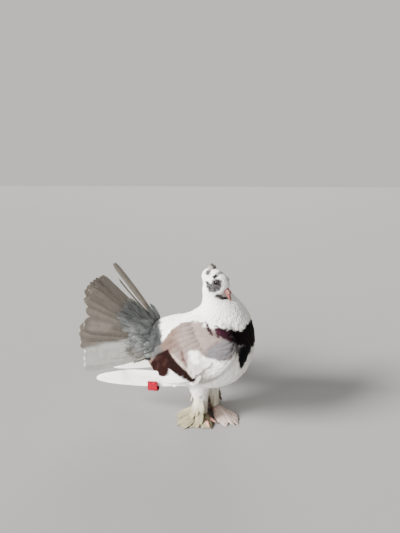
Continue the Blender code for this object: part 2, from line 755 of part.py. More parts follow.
def floor_cut(target):
    """Flattens what would reach below the floor into small flats on it."""
    edit = bmesh.new()
    edit.from_mesh(target.data)
    parts = edit.verts[:] + edit.edges[:] + edit.faces[:]
    bmesh.ops.bisect_plane(edit, geom=parts, plane_co=Vector(), plane_no=Vector((0, 0, 1)),
                           clear_inner=True)
    rim = [edge for edge in edit.edges if edge.is_boundary]
    bmesh.ops.edgeloop_fill(edit, edges=rim)
    bmesh.ops.triangulate(edit, faces=edit.faces)
    edit.to_mesh(target.data)
    edit.free()


def toe_points(ankle, heading, length, height):
    """Points along a toe from the ankle out to its end, sloping down to the floor."""
    way = Vector((math.cos(heading), math.sin(heading), 0))
    start = Vector((ankle.x, ankle.y, ankle.z))
    out = []
    for t in (0.0, 0.3, 0.6, 0.85, 1.0):
        drop = (height - start.z) * min(1, t / 0.5)
        out.append(start + way * length * t + Vector((0, 0, drop)))
    return out


def build_leg(side, body):
    """Feathered leg, and the foot with its toes and its muff of feathers on the floor."""
    name = SIDE_NAMES[side]
    top, ankle, heading = LEG_TOP[side], ANKLE[side], FOOT_HEADING[side]
    points = [top.lerp(ankle, t) for t, radius in LEG_RADII]
    leg = new_object("leg_" + name, tube(points, [r for t, r in LEG_RADII], sides=16), "white_feather")
    joint = ankle + Vector((0, 0, 6))
    hanging = []
    for way, root_height, tip_height, reach in LEG_FEATHERS:
        out = Vector((math.cos(math.radians(way)), side * math.sin(math.radians(way)) * -1, 0))
        middle = ankle.lerp(top, (root_height - ankle.z) / (top.z - ankle.z))
        root = middle + out * 5
        tip = Vector((ankle.x, ankle.y, 0)) + out * reach + Vector((0, 0, tip_height))
        hanging.append(straight_feather(root, tip, out, 6.5, FOOT_FEATHER_THICKNESS, bend=-2.0))
    boolean(leg, hanging, "UNION")
    boolean(leg, [inflated(body, GAP)], "DIFFERENCE")
    lower = cut_half(leg, joint, Vector((0, 0, 1)), keep_front=True)
    old = leg.data
    leg.data = bpy.data.meshes.new("leg_" + name)
    lower.to_mesh(leg.data)
    lower.free()
    leg.data.materials.append(material("white_feather"))
    bpy.data.meshes.remove(old)

    base = tube([joint + Vector((0, 0, -GAP / 2)), ankle, Vector((ankle.x, ankle.y, 2))],
                [9.2, 9.5, 7], sides=16)
    foot = new_object("foot_" + name, base, "white_feather")
    pieces = []
    ends = []
    for place, length in TOE_LENGTHS.items():
        ends.append((heading + place * TOE_SPREAD, length))
    ends.append((heading + math.pi, HIND_TOE_LENGTH))
    for i, (way, length) in enumerate(ends):
        line = toe_points(ankle, way, length, TOE_RADIUS - SOLE_CUT)
        radii = [TOE_RADIUS * r for r in (1.25, 1.15, 1.0, 0.85, 0.45)]
        pieces.append(new_object("toe", tube(line, radii, sides=8)))
    for way, length, height in FOOT_FEATHERS[side]:
        out = Vector((math.cos(math.radians(way)), math.sin(math.radians(way)), 0))
        root = Vector((ankle.x, ankle.y, height))
        tip = Vector((ankle.x, ankle.y, FOOT_FEATHER_THICKNESS / 2)) + out * length
        pieces.append(straight_feather(root, tip, Vector((0, 0, 1)), FOOT_FEATHER_HALF_WIDTH,
                                       FOOT_FEATHER_THICKNESS, bend=-2.5))
    boolean(foot, pieces, "UNION")
    floor_cut(foot)
    keep_largest(foot)
    for i, (way, length) in enumerate(ends):
        out = Vector((math.cos(way), math.sin(way), 0))
        start = Vector((ankle.x, ankle.y, 0)) + out * (length - 1)
        line = [start + out * CLAW_LENGTH * t + Vector((0, 0, z))
                for t, z in ((0, 3.4), (0.5, 3.6), (0.8, 2.6), (1.0, 0.9))]
        claw = new_object(f"claw_{name}_{i + 1}",
                          tube(line, [CLAW_RADIUS * r for r in (1, 0.85, 0.6, 0.35)], sides=6),
                          "claw_horn")
        boolean(foot, [inflated(claw, GAP)], "DIFFERENCE")
    floor_cut(foot)
    foot.data.materials.append(material("white_feather"))
    return leg, foot


def build_tape():
    """A short tape folded round the lower edge of the right wing's long feathers."""
    way = (PRIMARY_TIP[RIGHT] - PRIMARY_ROOT).normalized()
    middle = PRIMARY_ROOT.lerp(PRIMARY_TIP[RIGHT], TAPE_PLACE)
    rise = way.z / way.x
    swerve = way.y / way.x
    width = PRIMARY_STEP_OUT * PRIMARY_COUNT / 2 + PRIMARY_THICKNESS + GAP
    low = -PRIMARY_HALF_WIDTH - TAPE_FOLD - GAP - TAPE_HANG
    edit = bmesh.new()
    outer = width + TAPE_THICKNESS
    profile = [(outer, TAPE_DEPTH), (outer, 1.5), (width, 0), (-width, 0), (-outer, 1.5),
               (-outer, TAPE_DEPTH), (-width, TAPE_DEPTH), (-width, TAPE_FOLD),
               (width, TAPE_FOLD), (width, TAPE_DEPTH)]
    rings = []
    for along in (-TAPE_LENGTH / 2, TAPE_LENGTH / 2):
        rings.append([edit.verts.new((middle.x + along, -(middle.y + swerve * along + out),
                                      middle.z + rise * along + low + up))
                      for out, up in profile])
    count = len(profile)
    for i in range(count):
        j = (i + 1) % count
        edit.faces.new((rings[0][i], rings[0][j], rings[1][j], rings[1][i]))
    for ring in rings:
        edit.faces.new(ring)
    bmesh.ops.triangulate(edit, faces=edit.faces)
    return new_object("wing_tape", edit, "red_tape")


draw = random.Random(5)
body, torso, neck, head = build_body()
build_eyes(head)
build_crest(head)
for side in (RIGHT, LEFT):
    build_wing(side, body)
    build_tail_half(side, body)
    build_leg(side, body)
build_tape()
bpy.data.objects.remove(body, do_unlink=True)

corners = [v.co for piece in bpy.data.objects for v in piece.data.vertices]
LOW = Vector([min(c[i] for c in corners) for i in range(3)])
HIGH = Vector([max(c[i] for c in corners) for i in range(3)])
SHIFT = Vector(((LOW.x + HIGH.x) / 2, (LOW.y + HIGH.y) / 2, LOW.z))
for piece in bpy.data.objects:
    piece.data.transform(Matrix.Scale(MM, 4) @ Matrix.Translation(-SHIFT))
    for polygon in piece.data.polygons:
        polygon.use_smooth = True
    piece.data.set_sharp_from_angle(angle=math.radians(40))
    piece.data.update()
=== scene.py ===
"""Indian fantail pigeon at life size: skin, plumage, bill, eyes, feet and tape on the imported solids.

The solids' own sizes are used again here, in millimetres from the point on the floor between
the feet: the bird looks along +X, its left is +Y, and every mesh is placed in metres."""
import heapq
import json
import math

import bmesh
import bpy
import numpy as np
from mathutils import Matrix, Vector
from mathutils.kdtree import KDTree

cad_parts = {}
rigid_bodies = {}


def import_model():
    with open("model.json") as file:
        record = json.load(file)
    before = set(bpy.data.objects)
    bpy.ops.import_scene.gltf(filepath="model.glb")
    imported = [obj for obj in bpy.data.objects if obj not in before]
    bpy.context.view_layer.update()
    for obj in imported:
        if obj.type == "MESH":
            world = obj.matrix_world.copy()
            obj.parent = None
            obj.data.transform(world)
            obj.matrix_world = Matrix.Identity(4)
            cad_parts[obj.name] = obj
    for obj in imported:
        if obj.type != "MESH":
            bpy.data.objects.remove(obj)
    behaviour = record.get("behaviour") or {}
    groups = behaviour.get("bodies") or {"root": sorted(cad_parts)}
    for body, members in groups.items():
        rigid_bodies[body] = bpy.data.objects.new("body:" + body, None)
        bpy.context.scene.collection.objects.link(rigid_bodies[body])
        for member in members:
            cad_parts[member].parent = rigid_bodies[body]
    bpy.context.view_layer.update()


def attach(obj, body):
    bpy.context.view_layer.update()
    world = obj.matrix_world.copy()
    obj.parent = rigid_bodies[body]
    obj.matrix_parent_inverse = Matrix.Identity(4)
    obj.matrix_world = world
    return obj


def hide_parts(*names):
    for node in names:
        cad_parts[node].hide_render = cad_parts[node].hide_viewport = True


for old in list(bpy.data.objects):
    bpy.data.objects.remove(old, do_unlink=True)
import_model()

# Skin
# The bird's flesh under its feathers, one closed surface over head, neck, body, the arms of
# the folded wings, the root of the tail and the thighs. It is lofted in lengths, grown
# together and then drawn in by the depth of the coat that lies on it.
MM = 0.001
RIGHT, LEFT = -1, 1
SIDE_NAMES = {RIGHT: "right", LEFT: "left"}
# Where the bird's own origin lies in the frame, whose origin is under the middle of its outline
MIDDLE = np.array((66.210, 3.000, 0.0))
# From the root of the tail to the neck: back line, belly line, half width, and how much the
# widest place lies below the middle
BODY_STATIONS = (
    (-101, 152, -101, 124, 12, 0.00), (-95, 162, -98, 109, 24, 0.00), (-84, 169, -88, 94, 36, 0.05),
    (-66, 176, -64, 78, 49, 0.08), (-48, 180, -36, 66, 58, 0.10), (-34, 185, -6, 61, 63, 0.10),
    (-23, 191, 28, 65, 64, 0.06), (-15, 198, 56, 80, 61, 0.02), (-10, 205, 73, 105, 57, 0.00),
    (-7, 212, 80, 134, 52, -0.04), (-7, 219, 79, 162, 45, -0.06), (-8, 226, 72, 188, 37, -0.06),
    (-9, 234, 59, 207, 30, -0.04), (-7, 243, 42, 219, 23, 0.00),
)
HEAD_CENTRE = Vector((16, -4, 243))
HEAD_YAW, HEAD_DIP = math.radians(-20), math.radians(30)
# From nape to forehead: place, half width, height above and depth below the head's axis
HEAD_STATIONS = (
    (-27.5, 5, 5, 5), (-25, 11, 11, 11), (-16.5, 15.5, 16.5, 17), (-8, 17.5, 19.5, 20),
    (2, 17.5, 19.5, 20), (11, 15.5, 17.5, 17.5), (18, 12.5, 13.5, 13.5), (22.5, 8.5, 9, 9),
    (24.5, 4.5, 4.5, 5),
)
WING_CENTRE = Vector((-1, 44, 142))
WING_HALF_SIZES = (69, 52, 25)
WING_DROP, WING_TOE_IN, WING_LEAN = math.radians(22), math.radians(5), math.radians(12)
HAND_FRONT, HAND_BACK = Vector((34, 50, 106)), Vector((-50, 53, 81))
HAND_DEPTH, HAND_THICKNESS = 30, 11
TAIL_APEX = Vector((-86, 0, 143))
TAIL_AXIS = {RIGHT: math.radians(-3), LEFT: math.radians(-13)}
TAIL_FLARE = {RIGHT: math.radians(44), LEFT: math.radians(41)}
TAIL_ARC = {RIGHT: math.radians(112), LEFT: math.radians(109)}
TAIL_LENGTH = 146
TAIL_LOW_FROM = math.radians(72)
TAIL_LOW_DROP = Vector((0, 9, -36))
LEG_TOP = {RIGHT: Vector((-9, -24, 84)), LEFT: Vector((-5, 26, 84))}
ANKLE = {RIGHT: Vector((-4, -10, 9)), LEFT: Vector((8, 18, 9))}
LEG_RADII = ((0.0, 21), (0.25, 19), (0.5, 14.5), (0.75, 11), (1.0, 9.5))
BODY_SIDES, HEAD_SIDES, ARM_RINGS, ARM_SIDES = 40, 32, 24, 32
HAND_RINGS, HAND_SIDES, TAIL_ROOT_RINGS, LEG_SIDES = 9, 20, 15, 24
VOXEL = 1.5 * MM


def placed(name, data):
    """An object of the scene that shows these data."""
    made = bpy.data.objects.new(name, data)
    bpy.context.scene.collection.objects.link(made)
    return made


def shown(name, points, faces):
    """An object of the scene from points in the bird's own millimetres."""
    mesh = bpy.data.meshes.new(name)
    mesh.from_pydata(((np.array(points, float) + MIDDLE) * MM).tolist(), [], faces)
    mesh.update()
    return placed(name, mesh)


def smooth_rows(rows, steps):
    """Rows of numbers with a smooth curve's values added between each two of them."""
    rows = np.array(rows, float)
    padded = np.vstack([2 * rows[0] - rows[1], rows, 2 * rows[-1] - rows[-2]])
    out = []
    for i in range(len(rows) - 1):
        a, b, c, d = padded[i:i + 4]
        for t in np.arange(steps) / steps:
            out.append(0.5 * (2 * b + (c - a) * t + (2 * a - 5 * b + 4 * c - d) * t ** 2
                              + (3 * b - a - 3 * c + d) * t ** 3))
    out.append(rows[-1])
    return out


def lofted(rings, endless=False):
    """Points and faces of a closed form through rings of equal count, or of an endless one."""
    count = len(rings[0])
    points = [tuple(p) for ring in rings for p in ring]
    faces = []
    for k in range(len(rings) if endless else len(rings) - 1):
        onward = (k + 1) % len(rings)
        for i in range(count):
            j = (i + 1) % count
            faces.append((k * count + i, k * count + j, onward * count + j, onward * count + i))
    for k in () if endless else (0, len(rings) - 1):
        points.append(tuple(np.mean([np.array(p) for p in rings[k]], axis=0)))
        for i in range(count):
            faces.append((k * count + i, k * count + (i + 1) % count, len(points) - 1))
    return points, faces


def ring_round(middle, across, up, sides):
    """Points of an ellipse round a middle, given its two half axes."""
    turns = [math.tau * i / sides for i in range(sides)]
    return [middle + across * math.sin(a) + up * math.cos(a) for a in turns]


def body_rings():
    """Rings round the body from the root of the tail, over the chest, to the neck."""
    rings = []
    for dx, dz, vx, vz, half_width, lean in smooth_rows(BODY_STATIONS, 3):
        dorsal, ventral = Vector((dx, 0, dz)), Vector((vx, 0, vz))
        middle, up = (dorsal + ventral) / 2, (dorsal - ventral) / 2
        ring = []
        for i in range(BODY_SIDES):
            angle = math.tau * i / BODY_SIDES
            rise = math.cos(angle)
            side = math.sin(angle) * half_width * (1 - lean * rise)
            ring.append(middle + up * rise + Vector((0, side, 0)))
        rings.append(ring)
    return rings


head_frame = (Matrix.Translation(HEAD_CENTRE) @ Matrix.Rotation(HEAD_YAW, 4, "Z")
              @ Matrix.Rotation(HEAD_DIP, 4, "Y"))


def head_rings():
    """Rings along the head, from the nape to the forehead."""
    rings = []
    for place, half_width, top, bottom in smooth_rows(HEAD_STATIONS, 3):
        ring = []
        for i in range(HEAD_SIDES):
            angle = math.tau * i / HEAD_SIDES
            rise = math.cos(angle)
            height = rise * (top if rise > 0 else bottom)
            ring.append(head_frame @ Vector((place, math.sin(angle) * half_width, height)))
        rings.append(ring)
    return rings


def wing_frame(side):
    """Turn and place of the wing: -x along its feathers, z out of the body."""
    turn = (Matrix.Rotation(side * WING_TOE_IN, 4, "Z") @ Matrix.Rotation(-WING_DROP, 4, "Y")
            @ Matrix.Rotation(side * WING_LEAN, 4, "X"))
    axes = Matrix(((1, 0, 0, 0), (0, 0, side, 0), (0, -side, 0, 0), (0, 0, 0, 1)))
    place = Vector((WING_CENTRE.x, side * WING_CENTRE.y, WING_CENTRE.z))
    return Matrix.Translation(place) @ turn @ axes


def arm_rings(side):
    """Rings along the folded arm of a wing, a flat egg on the side of the body."""
    place = wing_frame(side)
    length, height, out = WING_HALF_SIZES
    rings = []
    for i in range(1, ARM_RINGS):
        angle = math.pi * i / ARM_RINGS
        middle, size = Vector((length * math.cos(angle), 0, 0)), math.sin(angle)
        across, up = Vector((0, height * size, 0)), Vector((0, 0, out * size))
        rings.append([place @ p for p in ring_round(middle, across, up, ARM_SIDES)])
    return rings


def hand_rings(side):
    """Rings along the flat hand of a wing, which holds the longest feathers."""
    rings = []
    for i in range(HAND_RINGS):
        t = i / (HAND_RINGS - 1)
        middle = HAND_FRONT.lerp(HAND_BACK, t)
        middle = Vector((middle.x, side * middle.y, middle.z))
        fade = math.sqrt(max(1 - abs(2 * t - 1) ** 4, 0.04))
        rings.append(ring_round(middle, Vector((0, HAND_THICKNESS / 2 * fade, 0)),
                                Vector((0, 0, HAND_DEPTH / 2 * fade)), HAND_SIDES))
    return rings


def tail_way(side, turn):
    """Unit vector along a tail feather, turned by an angle from the middle of the tail."""
    axis_angle, flare = TAIL_AXIS[side], TAIL_FLARE[side]
    axis = Vector((-math.cos(axis_angle), 0, math.sin(axis_angle)))
    top = Vector((math.sin(axis_angle), 0, math.cos(axis_angle)))
    around = top * math.cos(turn) + Vector((0, side, 0)) * math.sin(turn)
    return axis * math.cos(flare) + around * math.sin(flare), around


def tail_place(side, turn, reach):
    """A point of the tail's fan: the outermost feathers start lower, and end on the cone."""
    way = tail_way(side, turn)[0]
    low = max(0, (turn - TAIL_LOW_FROM) / (TAIL_ARC[side] - TAIL_LOW_FROM))
    drop = Vector((TAIL_LOW_DROP.x, side * TAIL_LOW_DROP.y, TAIL_LOW_DROP.z)) * low
    return TAIL_APEX + way * reach + drop * (1 - min(1, reach / TAIL_LENGTH))


def tail_root_rings(side):
    """Rings along the curved flesh from the middle of the tail round to its outermost feather."""
    rings = []
    for i in range(TAIL_ROOT_RINGS):
        turn = TAIL_ARC[side] * i / (TAIL_ROOT_RINGS - 1)
        way, around = tail_way(side, turn)
        out = (around - way * around.dot(way)).normalized()
        ring = []
        for reach, thick in ((4, 0), (12, 4.2), (30, 3.2), (43, 0), (30, -2.6), (12, -4.2)):
            ring.append(tail_place(side, turn, reach) + out * thick)
        rings.append(ring)
    return rings


def leg_rings(side):
    """Rings down the thigh and the shank to the ankle."""
    top, ankle = LEG_TOP[side], ANKLE[side]
    return [ring_round(top.lerp(ankle, t), Vector((radius, 0, 0)), Vector((0, radius, 0)), LEG_SIDES)
            for t, radius in smooth_rows(LEG_RADII, 3)]


def joined(forms):
    """Points and faces of several closed forms as one list."""
    points, faces = [], []
    for form_points, form_faces in forms:
        start = len(points)
        points += form_points
        faces += [tuple(i + start for i in face) for face in form_faces]
    return points, faces


forms = [lofted(body_rings()), lofted(head_rings())]
for side in (RIGHT, LEFT):
    forms += [lofted(arm_rings(side)), lofted(hand_rings(side)), lofted(tail_root_rings(side)),
              lofted(leg_rings(side))]


def outward(piece):
    """Turns the faces of closed forms out and shades them smooth."""
    edit = bmesh.new()
    edit.from_mesh(piece.data)
    bmesh.ops.recalc_face_normals(edit, faces=edit.faces)
    for face in edit.faces:
        face.smooth = True
    edit.to_mesh(piece.data)
    edit.free()


skin = shown("skin", *joined(forms))
outward(skin)


def settled(piece):
    """Turns the object's modifiers into its mesh."""
    graph = bpy.context.evaluated_depsgraph_get()
    result = bpy.data.meshes.new_from_object(piece.evaluated_get(graph))
    piece.modifiers.clear()
    old, piece.data = piece.data, result
    bpy.data.meshes.remove(old)


grown = skin.modifiers.new("grown together", "REMESH")
grown.mode = "VOXEL"
grown.voxel_size = VOXEL
softened = skin.modifiers.new("softened", "SMOOTH")
softened.factor = 0.5
softened.iterations = 10
settled(skin)


def read(mesh, name, width):
    """A named attribute or the coordinates of a mesh as an array."""
    values = np.zeros(len(mesh.vertices) * width, np.float32)
    if name == "position":
        mesh.vertices.foreach_get("co", values)
    else:
        mesh.attributes[name].data.foreach_get("value" if width == 1 else "vector", values)
    return values.reshape(-1, width).astype(float)


def write(mesh, name, values):
    """Stores numbers, vectors or colours on the points of a mesh."""
    kind, field = {1: ("FLOAT", "value"), 3: ("FLOAT_VECTOR", "vector"),
                   4: ("FLOAT_COLOR", "color")}[values.shape[1]]
    old = mesh.attributes.get(name)
    if old:
        mesh.attributes.remove(old)
    made = mesh.attributes.new(name, kind, "POINT")
    made.data.foreach_set(field, np.ascontiguousarray(values, np.float32).ravel())


def bird_place(mesh):
    """Points of a mesh in the bird's own millimetres."""
    return read(mesh, "position", 3) / MM - MIDDLE


def local_to(matrix, points):
    """Points seen from a turned and moved frame."""
    inverse = np.array(matrix.inverted())
    return points @ inverse[:3, :3].T + inverse[:3, 3]


def step_between(low, high, values):
    """0 below low, 1 above high, and smooth between them."""
    t = np.clip((values - low) / (high - low), 0, 1)
    return t * t * (3 - 2 * t)


def wing_reach(points, side):
    """How far out of the arm's egg points lie: 1 is on its surface."""
    local = local_to(wing_frame(side), points)
    return np.linalg.norm(local / np.array(WING_HALF_SIZES), axis=1), local


skin_points = bird_place(skin.data)
edges = np.zeros(len(skin.data.edges) * 2, np.int32)
skin.data.edges.foreach_get("vertices", edges)
edges = edges.reshape(-1, 2)
normals = np.zeros(len(skin_points) * 3, np.float32)
skin.data.vertices.foreach_get("normal", normals)
normals = normals.reshape(-1, 3).astype(float)


def spread(values, rounds):
    """Values of the skin's points averaged with their neighbours' for some rounds."""
    count = np.bincount(edges.ravel(), minlength=len(values))[:, None] + 1.0
    for k in range(rounds):
        total = values.copy()
        np.add.at(total, edges[:, 0], values[edges[:, 1]])
        np.add.at(total, edges[:, 1], values[edges[:, 0]])
        values = total / count
    return values


def way_from(start):
    """Shortest way over the skin from the points near start to each point, in millimetres."""
    near_start = 9
    near = [[] for _ in skin_points]
    lengths = np.linalg.norm(skin_points[edges[:, 0]] - skin_points[edges[:, 1]], axis=1)
    for (a, b), length in zip(edges.tolist(), lengths.tolist()):
        near[a].append((b, length))
        near[b].append((a, length))
    gap = np.linalg.norm(skin_points - np.array(start), axis=1)
    far = [1e9] * len(skin_points)
    queue = []
    for i in np.nonzero(gap < near_start)[0].tolist():
        far[i] = float(gap[i])
        queue.append((far[i], i))
    heapq.heapify(queue)
    while queue:
        length, i = heapq.heappop(queue)
        if length > far[i]:
            continue
        for j, step in near[i]:
            if length + step < far[j]:
                far[j] = length + step
                heapq.heappush(queue, (far[j], j))
    return np.array(far)[:, None]


bill_root = head_frame @ Vector((23.5, 0, -1))
from_bill = spread(way_from(bill_root), 12)
from_bill = np.where(from_bill > 1e8, 300, from_bill)
along_edge = skin_points[edges[:, 1]] - skin_points[edges[:, 0]]
steep = (from_bill[edges[:, 1]] - from_bill[edges[:, 0]]) / (along_edge ** 2).sum(1)[:, None]
lie = np.zeros_like(skin_points)
np.add.at(lie, edges[:, 0], along_edge * steep)
np.add.at(lie, edges[:, 1], along_edge * steep)
lie /= np.linalg.norm(lie, axis=1)[:, None] + 1e-9

on_wing = np.zeros(len(skin_points))
on_tail = np.zeros(len(skin_points))
for side in (RIGHT, LEFT):
    wing = 1 - step_between(1.02, 1.07, wing_reach(skin_points, side)[0])
    wing *= step_between(-8, 0, side * skin_points[:, 1] - 26)
    on_wing = np.maximum(on_wing, wing)
    wing_way = np.array(wing_frame(side).to_3x3() @ Vector((-1, 0, 0)))
    lie = lie * (1 - wing[:, None]) + wing_way * wing[:, None]
    mine = side * skin_points[:, 1] >= 0
    offset = skin_points - np.array(TAIL_APEX)
    turn = np.arctan2(np.abs(skin_points[:, 1]), offset[:, 2])
    tail = step_between(-103, -108, skin_points[:, 0]) * mine
    back, aside = math.cos(TAIL_FLARE[side]), math.sin(TAIL_FLARE[side])
    out_way = np.stack([np.full_like(turn, -back), side * aside * np.sin(turn),
                        aside * np.cos(turn)], axis=1)
    lie = lie * (1 - tail[:, None]) + out_way * tail[:, None]
    on_tail = np.maximum(on_tail, tail)
lie = spread(lie, 6)
lie -= normals * (lie * normals).sum(1)[:, None]
lie /= np.linalg.norm(lie, axis=1)[:, None] + 1e-9

head_local = local_to(head_frame, skin_points)
on_head = 1 - step_between(30, 52, from_bill[:, 0])
on_leg = (1 - step_between(58, 74, skin_points[:, 2])) * (1 - on_wing)
depth = 3.2 - 1.9 * on_head - 0.8 * on_wing - 0.7 * on_leg - 1.9 * on_tail
length = 20 - 14 * on_head - 5 * on_wing - 6 * on_leg
length = length - 5 * (1 - step_between(45, 95, from_bill[:, 0])) * (1 - on_head)
depth, length = spread(depth[:, None], 4), spread(length[:, None], 4)
drawn_in = (skin_points - normals * depth + MIDDLE) * MM
skin.data.vertices.foreach_set("co", drawn_in.astype(np.float32).ravel())
skin.data.update()
write(skin.data, "lie", lie)
write(skin.data, "depth", depth * MM)
write(skin.data, "feather_length", length * MM)

bpy.context.view_layer.objects.active = skin
skin.select_set(True)
bpy.ops.object.mode_set(mode="EDIT")
bpy.ops.mesh.select_all(action="SELECT")
bpy.ops.uv.smart_project(angle_limit=math.radians(66), island_margin=0.002)
bpy.ops.object.mode_set(mode="OBJECT")
skin.data.uv_layers[0].name = "OFBake"
for polygon in skin.data.polygons:
    polygon.use_smooth = True


# Coat of small feathers
# Contour feathers lie over the whole skin like shingles, from short ones on the face to long
# ones on back and breast. Each is a thin closed lens with a ragged end. A tree of nodes
# scatters them, turns them along the lie of the coat and presses them to the skin.
FEATHER_THICKNESS = 0.25 * MM
# Where a long feather's barbs begin along its shaft, and where the last of them is rooted
VANE_START, VANE_END = 0.06, 0.975
SHAFT_SIDES = 6
WEB_STEPS, WEB_END, WEB_DROP = 18, 0.988, 0.03
# Side of the square on the baking map that a feather takes round the place of its root
BAKING_PATCH = 0.003


class Blank:
    """Points, faces and marks of one feather, a unit long and a unit in half width."""

    def __init__(self):
        self.points, self.faces, self.marks = [], [], []

    def point(self, along, across, up, shaft=0.0, thick=0.0):
        """Adds a point with its marks and gives its number."""
        self.points.append((along, across, up))
        self.marks.append((along, across, shaft, thick))
        return len(self.points) - 1

    def made(self, name, collection):
        """Makes the feather's object in a collection, with sharp bends left sharp."""
        mesh = bpy.data.meshes.new(name)
        mesh.from_pydata(self.points, [], self.faces)
        marks = np.array(self.marks)
        for i, mark in enumerate(("along", "across", "shaft", "thick")):
            write(mesh, mark, marks[:, i:i + 1])
        edit = bmesh.new()
        edit.from_mesh(mesh)
        bmesh.ops.recalc_face_normals(edit, faces=edit.faces)
        for face in edit.faces:
            face.smooth = True
        for edge in edit.edges:
            edge.smooth = edge.calc_face_angle(0) < math.radians(70)
        edit.to_mesh(mesh)
        edit.free()
        feather = bpy.data.objects.new(name, mesh)
        collection.objects.link(feather)


def contour_blank(seed):
    """A small feather: a thin lens, widest beyond its middle, with a ragged end."""
    draw = np.random.default_rng(seed)
    blank = Blank()
    rows = ((0.0, 0.35), (0.3, 0.75), (0.58, 1.0), (0.8, 0.92))
    tops, lows = [], []
    for along, width in rows:
        tops.append([blank.point(along, width * c, 0, thick=1 - abs(c)) for c in (-1, -0.45, 0, 0.45, 1)])
        lows.append(blank.point(along, 0, 0, thick=-0.6))
    ends = []
    for c, reach in ((-0.72, 0.9), (-0.36, 0.99), (0, 1.0), (0.36, 0.98), (0.74, 0.9)):
        ends.append(blank.point(reach + draw.uniform(-0.05, 0.05), c + draw.uniform(-0.06, 0.06), 0))
    tops.append(ends)
    for low, high in zip(tops, tops[1:]):
        for i in range(4):
            blank.faces.append((low[i], low[i + 1], high[i + 1], high[i]))
    for k in range(len(rows) - 1):
        blank.faces.append((tops[k][0], lows[k], lows[k + 1], tops[k + 1][0]))
        blank.faces.append((tops[k][4], lows[k], lows[k + 1], tops[k + 1][4]))
    last = len(rows) - 1
    blank.faces.append((tops[last][0], lows[last], ends[1], ends[0]))
    blank.faces.append((tops[last][4], lows[last], ends[3], ends[4]))
    blank.faces.append((lows[last], ends[1], ends[2]))
    blank.faces.append((lows[last], ends[2], ends[3]))
    blank.faces.append(tuple(tops[0]) + (lows[0],))
    return blank


def vane_width(t, round_from):
    """Half width of a long feather at a place along it, rounded off towards its end."""
    widening = 0.42 + 0.58 * math.sin(math.pi / 2 * min(1, max(0, t) / 0.55))
    beyond = min(1, max(0, (t - round_from) / (1 - round_from)))
    return widening * math.sqrt(max(0, 1 - beyond ** 2.2))


def barbed_blank(seed, groups, round_from, sweep, cup, splits=2, ragged=0.02, loose=0.0,
                 shaft_size=0.07, lead=1.0, thick=0.015, columns=(0.0, 0.4, 0.75, 1.0), web=False):
    """A vane of closed bundles of barbs on both sides of a tapering shaft, over a thin web or not."""
    draw = np.random.default_rng(seed)
    blank = Blank()
    roots = [VANE_START + (VANE_END - VANE_START) * (k / groups) ** 0.92 for k in range(groups + 1)]
    for side in (-1, 1):
        gaps = {int(k): draw.uniform(0.6, 1.4) for k in draw.choice(groups - 2, splits, replace=False) + 1}
        for k in range(groups):
            reach = 1 + draw.uniform(-ragged, ragged)
            lift = draw.uniform(-1, 1) * (0.01 + 0.25 * loose)
            lines = []
            middle = (roots[k] + roots[k + 1]) / 2
            for edge in (0, 1, 2):
                root = middle + (edge - 1) * 0.58 * (roots[k + 1] - roots[k])
                line = []
                for c in columns:
                    at_root = middle + (root - middle) * (1 - loose * c)
                    end = at_root + sweep * (1 - at_root) ** 0.45 * reach
                    half = vane_width(end, round_from) * (lead if side > 0 else 1) * reach
                    along = at_root + (end - at_root) * c ** 1.3
                    if edge == 0 and k in gaps:
                        along += 0.022 * gaps[k] * c * c
                    across = side * (0.02 + (max(half, 0.03) - 0.02) * c ** 0.9)
                    up = -cup * across * across + lift * c * c
                    line.append((along, across, up))
                lines.append(line)
            first = [blank.point(*p) for p in lines[0]]
            third = [blank.point(*p) for p in lines[2]]
            top = [blank.point(x, y, z + thick) for x, y, z in lines[1]]
            low = [blank.point(x, y, z - thick) for x, y, z in lines[1]]
            for i in range(len(columns) - 1):
                for ridge in (top, low):
                    blank.faces.append((first[i], ridge[i], ridge[i + 1], first[i + 1]))
                    blank.faces.append((ridge[i], third[i], third[i + 1], ridge[i + 1]))
            for i in (0, -1):
                blank.faces.append((first[i], top[i], third[i], low[i]))
    rows = []
    for t in (-0.04, 0.1, 0.3, 0.5, 0.7, 0.85, 0.97):
        radius = shaft_size * (1 - 0.8 * max(t, 0))
        rows.append([blank.point(t, radius * math.cos(a), radius * math.sin(a), shaft=1.0)
                     for a in (math.tau * i / SHAFT_SIDES for i in range(SHAFT_SIDES))])
    for low, high in zip(rows, rows[1:]):
        for i in range(SHAFT_SIDES):
            j = (i + 1) % SHAFT_SIDES
            blank.faces.append((low[i], low[j], high[j], high[i]))
    blank.faces.append(tuple(rows[0]))
    blank.faces.append(tuple(rows[-1]))
    if web:
        tops, lows = [], []
        for t in np.linspace(VANE_START, WEB_END, WEB_STEPS):
            half = 0.97 * max(vane_width(t, round_from), 0.05)
            tops.append([blank.point(t, half * c, -cup * (half * c) ** 2 - WEB_DROP, thick=0.5 - 0.5 * abs(c))
                         for c in (-1, -0.5, 0, 0.5, lead)])
            lows.append([blank.point(t, half * c, -cup * (half * c) ** 2 - WEB_DROP, thick=-0.5)
                         for c in (-0.5, 0, 0.5)])
        for k in range(WEB_STEPS - 1):
            top, above, low, under = tops[k], tops[k + 1], lows[k], lows[k + 1]
            for i in range(4):
                blank.faces.append((top[i], top[i + 1], above[i + 1], above[i]))
            around, onward = [top[0], *low, top[4]], [above[0], *under, above[4]]
            for i in range(4):
                blank.faces.append((around[i], around[i + 1], onward[i + 1], onward[i]))
        blank.faces.append(tuple(tops[0]) + tuple(reversed(lows[0])))
        blank.faces.append(tuple(tops[-1]) + tuple(reversed(lows[-1])))
    return blank


def feather_set(name, blanks):
    """A collection of like feathers, from which the trees of nodes pick."""
    collection = bpy.data.collections.new(name)
    for i, blank in enumerate(blanks):
        blank.made(f"{name}_{i}", collection)
    return collection


